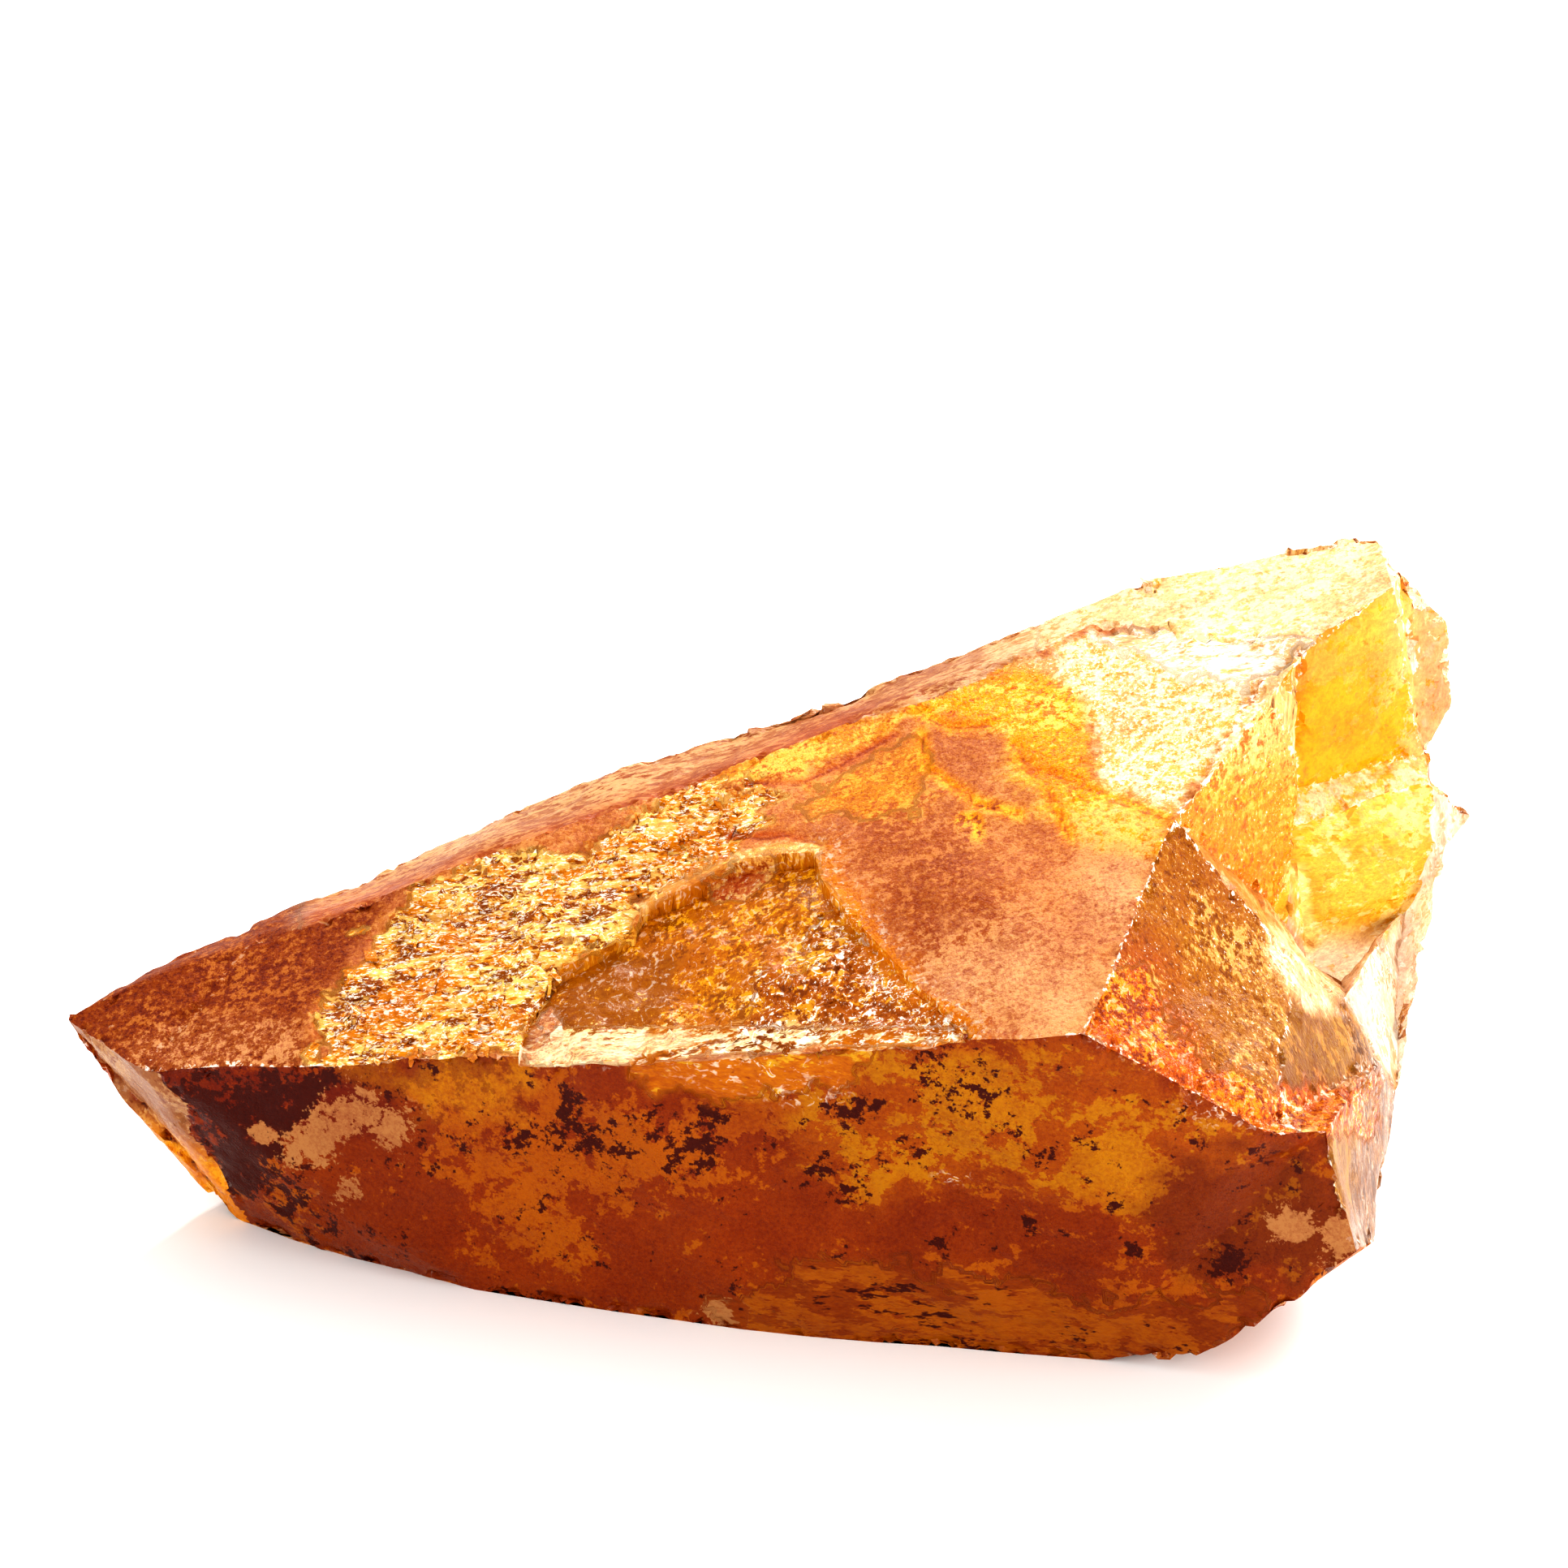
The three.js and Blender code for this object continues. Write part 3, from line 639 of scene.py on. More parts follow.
def at_points(values):
    """Values of the points, handed to the triangle corners."""
    return values[tris]


def paint(where, **wanted):
    """Turns the looks towards the wanted ones, as far as `where` (0 to 1) says."""
    amount = np.broadcast_to(where, tris.shape)[..., None].astype(float)
    for name, value in wanted.items():
        goal = tone(*value) if LOOKS[name] == 3 else value
        looks[name] += (goal - looks[name]) * amount


def add(where, **more):
    """Adds to the looks that are single numbers."""
    for name, value in more.items():
        looks[name] += value * np.broadcast_to(where, tris.shape)[..., None]


def spots(*marks, longer=1.0):
    """1 at the middle of each mark (across, up, radius), falling to 0 at its radius."""
    peak = np.zeros(len(place))
    for across_mm, up_mm, radius in marks:
        away = np.hypot((lengthwise - across_mm) / longer, height - up_mm)
        peak = np.maximum(peak, 1 - away / radius)
    return at_points(peak)


print("looks:", ", ".join(LOOKS))

# %% Upper face: the salmon crust and the rusty tip
upper = on("upper")
paint(
    upper, ground=(200, 125, 62), patch=(213, 144, 82), stain=(192, 108, 46),
    patching=-0.06, staining=-0.24, gloss=0.4, grain=0.6, glitter=-0.22, worn=0.15, fine=0.55,
)
RUST_BLOOMS = [(6.9, -3.4, 5), (9.2, -8.8, 4.5), (13.5, -8.8, 5), (11, -5.6, 5), (9.8, -11, 3.4)]
PALE_BLOOMS = [(12.7, -14.3, 4), (16.4, -13.4, 5), (19.5, -15.3, 5), (21.5, -9.5, 5), (24, -6, 4)]
add(upper * spots(*RUST_BLOOMS), staining=0.3)
add(upper * spots(*PALE_BLOOMS), patching=0.4, staining=-0.2)
DEEP_CRUST = [(6.9, -3.4, 6), (9.2, -8.8, 6), (13.5, -8.8, 5), (11, -5.6, 6), (9.8, -11, 4)]
LIGHT_CRUST = [(12.7, -14.3, 6), (16.4, -13.4, 6), (19.5, -15.3, 6), (24, -8, 5)]
paint(upper * 0.8 * spots(*DEEP_CRUST), ground=(166, 86, 14), patch=(196, 120, 54), stain=(160, 78, 16))
paint(upper * 0.8 * spots(*LIGHT_CRUST), ground=(208, 148, 96), patch=(228, 176, 120))
paint(
    upper * at_points(within(ORANGE_TOP, 0.8)), ground=(228, 154, 30), patch=(242, 192, 80),
    stain=(196, 104, 15), staining=-0.25,
)
paint(
    upper * at_points(within(ORANGE_FAN, 1.2)), ground=(220, 144, 28), patch=(234, 176, 60),
    stain=(199, 105, 14), staining=-0.18, upright=1,
)
tip = at_points(within(TIP, 0.8)) * (upper + on("shoulder") * at_points(ramp(-33, -36, lengthwise)))
paint(
    tip, ground=(152, 70, 2), patch=(184, 108, 40), stain=(124, 44, 1), patching=-0.14,
    staining=-0.14, gloss=0.5, grain=0.9, fine=0.9, glitter=-0.4, worn=0.15,
)
paint(
    tip * at_points(within(TIP_RIM, 1.6)), ground=(168, 92, 34), patch=(212, 150, 96),
    patching=0, staining=-0.3,
)
print("painted the crust and the tip")

# %% Upper face: flaked ground and hollow
paint(
    upper * at_points(within(FLAKED, 0.7, 1.8)), ground=(236, 156, 12), patch=(255, 216, 116),
    stain=(164, 92, 10), patching=-0.02, staining=-0.14, gloss=0.22, grain=0.4, glitter=0.03,
    along=1, worn=0.2, fine=0.35,
)
RUSTY_PITS = [(-20.5, -8.5, 3.4), (-27, -11.5, 4), (-31, -15.5, 4), (-17, -16, 3), (-14, -9, 3)]
add(upper * at_points(flaked) * spots(*RUSTY_PITS), staining=0.18)
paint(
    upper * at_points(hollow), ground=(200, 122, 2), patch=(238, 170, 24), stain=(160, 92, 0),
    patching=-0.1, staining=-0.12, gloss=0.25, grain=0.2, glitter=-0.16, upright=1, worn=0.2, fine=0.4,
)
paint(upper * at_points(within(BOWL, 0.9) * hollow), ground=(170, 100, 0), patching=-0.3)
paint(
    upper * at_points(wet), ground=(186, 104, 0), patch=(228, 162, 32), stain=(140, 72, 0),
    patching=-0.1, glitter=-0.04, upright=0, fine=0.5,
)
paint(
    upper * at_points(within(PINK_SCRAP, 0.2)), ground=(204, 119, 56), patch=(227, 177, 105),
    stain=(182, 83, 27), patching=0, gloss=0.4, grain=0.6, upright=0,
)
for outline, ground in ((CREAM_RIM, (246, 214, 155)), (PINK_CORNER, (220, 159, 107))):
    paint(
        on("upper", "front") * at_points(within(outline, 0.2, 0.5)), ground=ground,
        patch=(255, 248, 232), stain=(232, 160, 60), patching=-0.1, staining=-0.22, gloss=0.3,
        grain=0.9, upright=0, along=0,
    )
lower_rim = at_points(hollow * ramp(-16.2, -18.4, height))
paint(upper * lower_rim, patch=(255, 232, 180), patching=-0.04, fine=0.35, upright=0, along=1)
print("painted the flaked ground and the hollow")

# %% Upper face: the golden window and the sparkling end
paint(
    upper * at_points(within(YELLOWED, 1.2)), ground=(240, 184, 60), patch=(244, 198, 100),
    stain=(246, 166, 13), patching=0, staining=-0.16,
)
paint(
    upper * at_points(within(PALE, 0.9)), ground=(246, 208, 126), patch=(252, 236, 190),
    stain=(246, 194, 90), patching=0, staining=-0.08, gloss=0.3, grain=0.5, glitter=0.0,
    fine=0.7,
)
paint(
    upper * at_points(within(GOLD, 0.8)), ground=(252, 176, 0), patch=(255, 214, 96),
    stain=(236, 132, 0), patching=-0.1, staining=-0.16, gloss=0.3, fine=0.5,
)
paint(
    on("upper", "shoulder") * at_points(wrinkled), ground=(250, 226, 164), patch=(255, 250, 226),
    stain=(246, 202, 104), patching=0.05, staining=-0.3, gloss=0.15, along=1, glitter=0.0,
)
print("painted the golden window")

# %% Shoulder and bow
shoulder = on("shoulder") * (1 - tip)
above_ridge = near(beside(RIDGE, sheet), 0.9)
painted_light_right = ramp(10, 26, lengthwise)
paint(
    shoulder, ground=(186, 128, 78), patch=(214, 166, 112), stain=(166, 86, 30),
    patching=-0.02, staining=-0.2, gloss=0.35, grain=0.4, glitter=-0.3, along=1, worn=0.2,
    fine=0.6,
)
paint(
    shoulder * at_points(above_ridge * ramp(14, 2, lengthwise)), ground=(178, 89, 31),
    patch=(199, 125, 64),
)
# painted light: the shoulder is painted paler towards the right end, where it faces the lamps
paint(
    shoulder * at_points(painted_light_right), ground=(242, 208, 140), patch=(248, 226, 178),
    stain=(240, 190, 104), staining=-0.2, along=0, fine=0.3,
)
bow = on("bow") + on("front") * at_points(within(BOW_EDGE, 0.4))
paint(
    bow, ground=(227, 140, 11), patch=(237, 163, 31), stain=(199, 111, 10), patching=-0.12,
    staining=-0.3, gloss=0.25, grain=0.2, glitter=-0.5, worn=0.1,
)
paint(
    bow * at_points(ramp(5, 10, place[:, 2])), ground=(164, 111, 66), patch=(186, 139, 91),
    stain=(142, 77, 31), patching=-0.05,
)
print("painted the shoulder and the bow")

# %% Front
front = on("front") * (1 - bow)
paint(
    front, ground=(139, 56, 0), patch=(168, 88, 0), stain=(74, 15, 0), patching=-0.14,
    staining=-0.34, gloss=0.28, grain=0.35, glitter=-0.4, worn=0.1,
)
for outline, look in (
    (RED_FLANK, {"ground": (146, 60, 0), "patch": (170, 90, 0), "patching": -0.16}),
    (AMBER_FLANK, {"ground": (162, 82, 0), "patch": (179, 115, 2), "patching": -0.06}),
    (HEEL, {"ground": (122, 50, 0), "patch": (147, 80, 1), "patching": -0.24}),
    (FOOT, {"ground": (143, 66, 1), "patch": (162, 87, 2), "patching": 0.05, "along": 1}),
    (UNDER_FLAKES, {"ground": (165, 100, 1), "patch": (186, 118, 4), "patching": -0.04}),
    (DARK_BROW, {"ground": (116, 34, 0), "patch": (140, 52, 0), "patching": -0.1, "staining": -0.16}),
):
    paint(front * at_points(within(outline, 1.4, 1.6)), **look)
print("painted the front")

# %% Front: skin, stains and scraps
OLIVE_SKIN = [
    (-22.2, -24.5, 4), (-16.5, -26.2, 5), (-11.9, -26.5, 4.5), (-8.4, -27.4, 4),
    (-19.4, -31.7, 4), (-16, -32, 4), (-2.5, -23, 4), (24, -27.6, 4), (14, -23, 4),
]
BARE_RED = [(-20, -36, 6), (-8, -33, 5), (0, -31.5, 5), (12, -33, 5), (32, -28, 5), (-28, -32, 5)]
SOFT_CLOUDS = [(-34.3, -29.4, 5), (-38, -26.5, 4.5), (-30, -33, 4), (-26, -26, 4)]
BLACK_STAINS = [
    (-41, -22.5, 3.5), (-33.8, -21.9, 5), (-31.9, -23, 3), (-36.5, -24, 3.5), (-39, -27, 3),
    (-24.6, -20.5, 1.6), (-18.6, -25.1, 2), (-13.8, -25.6, 3.4), (-14.6, -23, 2), (-6.2, -25.2, 3),
    (-4.5, -23.2, 2.4), (5, -23.5, 2), (12.6, -21.2, 3.4), (18.4, -26, 1.6), (3.5, -27.5, 2.4),
]
BLACK_SPOTS = [
    (11.2, -32.6, 1.6), (17.1, -31.8, 1.4), (23.4, -29.9, 1.5), (24.8, -33.4, 1.4), (31.5, -33.9, 2.8),
]
add(front * spots(*OLIVE_SKIN, longer=1.4), patching=0.45)
add(front * spots(*BARE_RED, longer=1.5), patching=-0.24)
add(front * spots(*SOFT_CLOUDS), staining=0.24)
add(front * spots(*BLACK_STAINS, longer=1.3), staining=0.38)
add(front * spots(*BLACK_SPOTS), staining=0.55)
add(front * at_points(ramp(-30, -25, height)), staining=0.03)
TAN_SCRAPS = [
    (-31, -23.5, 3.2), (-33.4, -25.4, 2.6), (-28, -24.6, 2.4), (-37.2, -24.9, 1.3),
    (-31.2, -29.2, 1.5), (36.4, -31.6, 2), (39.8, -32.2, 2.6), (42, -33.5, 2), (-4.6, -37.8, 1.6),
]
scrap = spots(*TAN_SCRAPS, longer=1.25)
paint(
    front * (scrap > 0), patch=(176, 120, 70), patching=scrap[..., None] * 0.8 - 0.4, gloss=0.45,
    fine=0.4,
)
add(front * ramp(0.2, 0.5, scrap), staining=-0.5)
paint(
    front * at_points(within(GOLDEN_CHIP, 0.5)), ground=(196, 117, 4), patch=(213, 160, 32),
    stain=(161, 81, 1), patching=-0.16, staining=-0.3, gloss=0.14, along=1,
)
print("on the front:", len(BLACK_STAINS) + len(BLACK_SPOTS), "stains and", len(TAN_SCRAPS), "scraps")

# %% Broken end: speckled face, strip and high wall
paint(
    on("speckled"), ground=(166, 104, 8), patch=(208, 158, 84), stain=(134, 74, 0),
    patching=-0.24, staining=-0.18, gloss=0.25, grain=0.5, glitter=-0.09, upright=1, worn=0.8,
    fine=0.8,
)
add(on("speckled") * spots((33, -12, 5), (30, -8, 3.5), (35, -18, 4)), patching=0.16, glitter=0.02)
paint(on("speckled") * spots((24.5, -14, 5), (27, -19, 4)), ground=(166, 78, 2))
paint(on("speckled") * spots((36, -13, 6), (35, -17, 5)), ground=(172, 120, 50))
paint(
    on("speckled") * at_points(ramp(-1.5, 0.5, height)), ground=(248, 212, 130),
    patch=(252, 228, 170), stain=(236, 170, 60),
)
paint(
    on("strip"), ground=(230, 152, 16), patch=(235, 180, 73), stain=(217, 117, 7),
    patching=-0.14, staining=-0.16, gloss=0.28, grain=0.4, glitter=-0.08, worn=0.5, fine=0.5,
)
paint(on("strip") * at_points(ramp(-1, 6, height)), ground=(250, 206, 122), patch=(252, 224, 160))
paint(
    on("high wall", "lobe"), ground=(246, 178, 60), patch=(246, 166, 8), stain=(238, 148, 30),
    patching=-0.3, staining=-0.3, gloss=0.22, grain=0.15, glitter=-0.5, worn=0.5,
)
add(on("high wall", "lobe") * spots((39, 3, 9)), patching=0.7)
paint(on("lobe", "high wall") * at_points(ramp(41, 46, lengthwise)), ground=(244, 190, 108))
paint(on("lobe") * at_points(ramp(44, 46, lengthwise)), ground=(228, 160, 100), patch=(240, 190, 130))
print("painted the speckled face, the strip and the high wall")

# %% Broken end: ledge, low wall and wedge
paint(
    on("ledge"), ground=(246, 206, 126), patch=(246, 216, 163), stain=(246, 188, 70),
    patching=-0.05, staining=-0.2, gloss=0.3, grain=0.3, glitter=-0.4, worn=0.5,
)
paint(
    on("low wall"), ground=(246, 192, 64), patch=(250, 212, 122), stain=(240, 167, 29),
    patching=-0.2, staining=-0.24, gloss=0.2, grain=0.2, glitter=-0.4, along=1, worn=0.4,
)
add(on("low wall") * at_points(ramp(40, 46, lengthwise)), patching=0.3)
# painted light: the inner corner at the foot of the low wall and the strip is painted cream and glows,
# lifting its shade
painted_light_corner = on("low wall", "strip") * at_points(ramp(-9.5, -12.5, height))
paint(painted_light_corner, ground=(255, 240, 200), patch=(255, 250, 230), stain=(250, 220, 150), glow=0.6)
paint(
    on("wedge"), ground=(204, 144, 70), patch=(226, 180, 112), stain=(184, 118, 44),
    patching=-0.1, staining=-0.3, gloss=0.3, grain=0.3, glitter=-0.4, worn=0.4,
)
paint(
    on("tan"), ground=(150, 100, 24), patch=(180, 128, 48), stain=(132, 78, 4),
    patching=-0.1, staining=-0.2, gloss=0.3, grain=0.5, glitter=-0.25, upright=1, worn=0.5,
)
paint(on("tan") * at_points(ramp(41, 43.5, lengthwise)), ground=(176, 122, 60), patch=(206, 158, 98))
paint(on("tan") * at_points(ramp(-2, 0, height)), ground=(250, 206, 122), patch=(252, 224, 160))
print("painted the ledge, the low wall and the wedge")

# %% Broken end: glass and rust
clear_face = at_points(within(CLEAR_FACE, 0.6))
paint(
    on("clear"), ground=(226, 186, 136), patch=(240, 212, 170), stain=(206, 156, 100), patching=-0.06,
    staining=-0.12, gloss=0.15, grain=0.15, glitter=-0.2, upright=1, worn=0.3, fine=0.3,
)
paint(
    on("spur", "clear", "tan", "lobe", "wedge") * np.maximum(clear_face, on("spur")),
    ground=(236, 208, 172), patch=(200, 152, 108), stain=(246, 228, 200), patching=-0.06,
    staining=-0.12, gloss=0.1, grain=0.15, glitter=-0.2, upright=1, worn=0.6, fine=0.3,
)
paint(on("spur"), ground=(246, 224, 192), patch=(226, 188, 146), worn=0.3)
brown_glass = at_points(within(BROWN_GLASS, 0.4, 0.5)) * (1 - on("front"))
paint(
    brown_glass, ground=(122, 76, 30), patch=(150, 102, 54), stain=(98, 56, 18),
    patching=-0.04, staining=-0.12, gloss=0.1, grain=0.2, glitter=-0.2, upright=1, worn=0.5, fine=0.3,
)
# painted light: the notch's foot gets a painted glow on top of its cream colour
paint(
    (1 - on("speckled", "front")) * at_points(within(NOTCH_FOOT, 0.4, 0.3)), ground=(250, 214, 124),
    patch=(252, 228, 160), stain=(244, 196, 90), worn=0.2, glow=0.25,
)
paint(
    on("wedge", "tan", "speckled", "clear") * at_points(within(CREAM_WEDGE, 0.5, 0.4)),
    ground=(240, 196, 136), patch=(252, 226, 180), stain=(226, 166, 92), patching=0,
    staining=-0.2, fine=0.3,
)
paint(
    on("tan", "speckled", "ledge", "clear") * at_points(within(RUSTY_SKIRT, 0.8, 1.2)),
    ground=(198, 98, 2), patch=(222, 138, 14), stain=(146, 58, 0), patching=-0.05,
    staining=-0.12, grain=0.8, fine=0.6, upright=0, glitter=-0.14,
)
print("painted the glassy faces and the rusty skirt")

# %% Far end, back and underside
paint(
    on("far end"), ground=(178, 106, 20), patch=(204, 146, 52), stain=(142, 74, 12),
    patching=0, staining=-0.14, gloss=0.28, grain=0.5, glitter=-0.2, upright=1, worn=0.6,
)
paint(
    on("back above"), ground=(158, 82, 24), patch=(184, 116, 50), stain=(120, 50, 8),
    patching=-0.04, staining=-0.16, gloss=0.38, grain=0.7, glitter=-0.15, along=1, worn=0.5,
)
paint(
    on("back above") * at_points(ramp(4, 22, place[:, 0])), ground=(190, 126, 48),
    patch=(240, 204, 140), stain=(204, 136, 60),
)
paint(on("far end") * at_points(ramp(34, 44, place[:, 2])), ground=(222, 172, 96), patch=(236, 198, 136))
# painted light: the pale rim of the far end is given a painted glow
pale_rim = at_points(ramp(44, 45.5, lengthwise) * ramp(-2, -4, height) * ramp(-24, -21, height))
paint(
    on("far end") * pale_rim, ground=(250, 232, 200), patch=(255, 244, 224),
    stain=(240, 210, 160), glow=0.4,
)
paint(
    on("back below"), ground=(173, 79, 7), patch=(201, 117, 22), stain=(79, 21, 1),
    patching=-0.04, staining=-0.22, gloss=0.3, grain=0.5, glitter=-0.3, along=1, worn=0.4,
)
paint(
    on("underside"), ground=(161, 78, 9), patch=(189, 112, 31), stain=(99, 39, 2),
    patching=-0.04, staining=-0.22, gloss=0.45, grain=0.8, glitter=-0.3, worn=0.3,
)
from_crest = distance_to(place[(faces["back above"] > 0) & (faces["shoulder"] > 0)])
paint(
    on("back above") * at_points(near(from_crest, 1.5)), ground=(220, 158, 100),
    patch=(236, 190, 140), stain=(200, 132, 74), worn=0.1,
)
print("painted the hidden sides")

# %% Painted highlights, painted glow and clear places
# painted highlights: wriggling white lines stand in for wet reflections on the glossy places
add(upper * at_points(hollow), wriggly=0.3, clear=0.04)
add(upper * at_points(wet), wriggly=1.2)
add(on("upper", "shoulder") * at_points(wrinkled), wriggly=0.8)
FRONT_HIGHLIGHT_SPOTS = [(-2.6, -20.2, 2.2), (1.5, -22, 1.4), (12, -28, 0.6), (33, -23, 2)]
add(front * spots(*FRONT_HIGHLIGHT_SPOTS, longer=3), wriggly=0.7)
add(on("speckled", "tan") * at_points(within(RUSTY_SKIRT, 1.0)), wriggly=0.25)
glassy = on("clear", "spur", "tan") * np.maximum(clear_face, on("spur"))
# painted light: the clear faces and the spur glow as if lit through the thin stone
add(glassy, wriggly=0.5, clear=0.2, glow=0.35)
add(on("spur"), glow=0.1)
add(brown_glass, wriggly=0.2)
add(on("wedge", "strip", "high wall", "lobe", "ledge", "low wall", "tan") * (1 - brown_glass), clear=0.1)
for name in ("along", "upright"):  # noise that runs partly one way would show its direction change
    looks[name] = np.round(looks[name])
print("clear places:", int((looks["clear"] > 0.05).sum()), "corners")

# %% Worn edges, cracks, and painted light on the hollow's walls and rim
STEEP_WALL = 0.82  # cosine of the slant from which the hollow's side counts as a wall

by_break = at_points(near(beside(BREAK_EDGE, sheet), 1.5))
paint(on("upper", "shoulder", "speckled", "strip", "high wall") * by_break, worn=0.75)
by_tip_keel = at_points(near(beside(KEEL[:3], sheet), 1.0))
paint(upper * by_tip_keel, worn=0.8)
golden = np.min([beside(line, sheet) for line in GOLDEN_CRACKS], axis=0)
rusty = np.min([beside(line, sheet) for line in RUSTY_CRACKS], axis=0)
paint(upper * at_points(near(golden, 0.5)), ground=(250, 164, 4), patch=(255, 196, 50))
paint(upper * at_points(near(rusty, 0.3)), ground=(200, 100, 24), patch=(214, 124, 50))
upper_looks_to = looks_to[0]
leans_away = (facing @ upper_looks_to < STEEP_WALL)[:, None]
# painted light: walls of the hollow that lean away from the lamps are painted lighter, lifting their
# shade
paint(
    upper * leans_away * at_points(near(inside(HOLLOW, sheet), 1.2)), ground=(206, 134, 24),
    patch=(238, 180, 70), stain=(170, 100, 8), gloss=0.2,
)
fringe = at_points(ramp(1, 4, lengthwise) * near(inside(HOLLOW, sheet), 1.5))
paint(upper * fringe, stain=(220, 136, 6), staining=0.04, fine=0.6)
# painted highlights and glints along the hollow's right fringe
add(upper * fringe, wriggly=0.45, glitter=0.04)
# painted light: the hollow's brow is painted lighter to lift the shade on its wall
painted_light_brow = at_points(near(beside(HOLLOW_BROW, sheet), 0.4))
paint(upper * painted_light_brow, ground=(244, 186, 96), patch=(255, 224, 160), staining=-0.4)
for name in ("wriggly", "clear", "glow"):
    looks[name] = np.clip(looks[name], 0, 1)
print("worn places:", int((looks["worn"] > 0.7).sum()), "corners")

# %% [markdown]
# ## From numbers to a mesh
# The points, triangles and looks become one Blender mesh. Faces are shaded smooth, and an edge
# where the surface turns sharply is marked sharp, so that the crystal's edges and the rims of
# the plates catch light as they should.

# %% Mesh
SHARP_TURN = math.radians(32)

mesh = bpy.data.meshes.new("crystal")
mesh.from_pydata((place * MM).tolist(), [], tris.tolist())
mesh.update()
for name, width in LOOKS.items():
    kind = "FLOAT_COLOR" if width == 3 else "FLOAT"
    layer = mesh.attributes.new(name, kind, "CORNER")
    flat = looks[name].reshape(-1, width)
    if width == 3:
        layer.data.foreach_set("color", np.append(flat, np.ones((len(flat), 1)), axis=1).ravel())
    else:
        layer.data.foreach_set("value", flat.ravel())
flaking = flaked * 0.9 + 0.25 * wet + 0.5 * within(CREAM_RIM) * faces["upper"]
for name, values in (("edge", edge), ("crack", crack), ("flaking", flaking)):
    mesh.attributes.new(name, "FLOAT", "POINT").data.foreach_set("value", values)

facing = unit(slopes(place))
turn = np.arccos(np.clip((facing[across] * facing[:, None]).sum(axis=2), -1, 1))
sides = np.sort(np.stack([tris, np.roll(tris, -1, axis=1)], axis=2), axis=2)
sharp_pairs = {tuple(pair) for pair in sides[turn > SHARP_TURN]}
ends = np.zeros(len(mesh.edges) * 2, int)
mesh.edges.foreach_get("vertices", ends)
sharp = [tuple(pair) in sharp_pairs for pair in np.sort(ends.reshape(-1, 2), axis=1)]
mesh.shade_smooth()
mesh.attributes.new("sharp_edge", "BOOLEAN", "EDGE").data.foreach_set("value", sharp)
crystal = put("honey_calcite_crystal", mesh)
print("sharp edges:", sum(sharp), "of", len(sharp))

# %% [markdown]
# ## Writing node trees as expressions
# A shader is arithmetic. Wired by hand it is a web; written as Python it is a few lines. `Wire`
# holds one output of a node, and adding or multiplying it adds the Math node that does so.
# `Tree.node` makes any other node from its type, its settings and what goes into its sockets.


# %% Wires
class Wire:
    """One output of a node, with the arithmetic of the Math node."""

    def __init__(self, tree, socket):
        self.tree, self.socket = tree, socket

    def maths(self, operation, *values, clamp=False):
        settings = {"operation": operation, "use_clamp": clamp}
        return self.tree.node("ShaderNodeMath", settings, dict(enumerate(values)))

    def __add__(self, other):
        return self.maths("ADD", self, other)

    def __sub__(self, other):
        return self.maths("SUBTRACT", self, other)

    def __rsub__(self, other):
        return self.maths("SUBTRACT", other, self)

    def __mul__(self, other):
        return self.maths("MULTIPLY", self, other)

    __radd__ = __add__
    __rmul__ = __mul__

    def clamped(self):
        return self.maths("ADD", self, 0.0, clamp=True)


class Tree:
    """A node tree that makes its nodes from Python calls."""

    def __init__(self, nodes):
        self.nodes = nodes

    def node(self, kind, settings=None, sockets=None, out=0):
        made = self.nodes.nodes.new(kind)
        for name, value in (settings or {}).items():
            setattr(made, name, value)
        for name, value in (sockets or {}).items():
            if isinstance(value, Wire):
                self.nodes.links.new(value.socket, made.inputs[name])
            else:
                made.inputs[name].default_value = value
        return Wire(self, made.outputs[out]) if made.outputs else made

    def blend(self, factor, first, second, how="MIX"):
        """Colours meet here: A and B of a Mix node set to colour are its sockets 6 and 7."""
        settings = {"data_type": "RGBA", "blend_type": how}
        return self.node("ShaderNodeMix", settings, {0: factor, 6: first, 7: second}, out=2)


print("arithmetic on wires: + - * and clamped()")

# %% [markdown]
# ## Loose flakes
# Where the skin has broken up, small rhombs of calcite still cling to the stone: cleavage always
# gives that same slanted block. A few hundred of them scattered by hand would look arranged, so
# Geometry Nodes strews them where the `flaking` attribute says, laid roughly along the surface.
# Points inherit the looks painted under them, so every flake is coloured by where it lies.

# %% Flake scatter
FLAKES_PER_MM2 = 0.6
FLAKE_SIZE = (0.85, 0.68, 0.26)
FLAKE_SEED = 5
FLAKE_SLANT = 0.45
TILT = 0.5  # radians a flake may lean, either way
TURN = 3.1  # radians it may turn round, either way
SMALLEST, LARGEST = (0.45, 0.45, 0.5), (1.5, 1.3, 1.2)

scatter = bpy.data.node_groups.new("loose flakes", "GeometryNodeTree")
inputs = [
    ("Stone", "NodeSocketGeometry", None),
    ("Flakes per square metre", "NodeSocketFloat", FLAKES_PER_MM2 / MM**2),
    ("Flake size", "NodeSocketVector", [side * MM for side in FLAKE_SIZE]),
    ("Seed", "NodeSocketInt", FLAKE_SEED),
    ("Finish", "NodeSocketMaterial", None),
]
socket_of = {}
for name, kind, default in inputs:
    socket = scatter.interface.new_socket(name, in_out="INPUT", socket_type=kind)
    socket_of[name] = socket.identifier
scatter.interface.new_socket("Stone", in_out="OUTPUT", socket_type="NodeSocketGeometry")

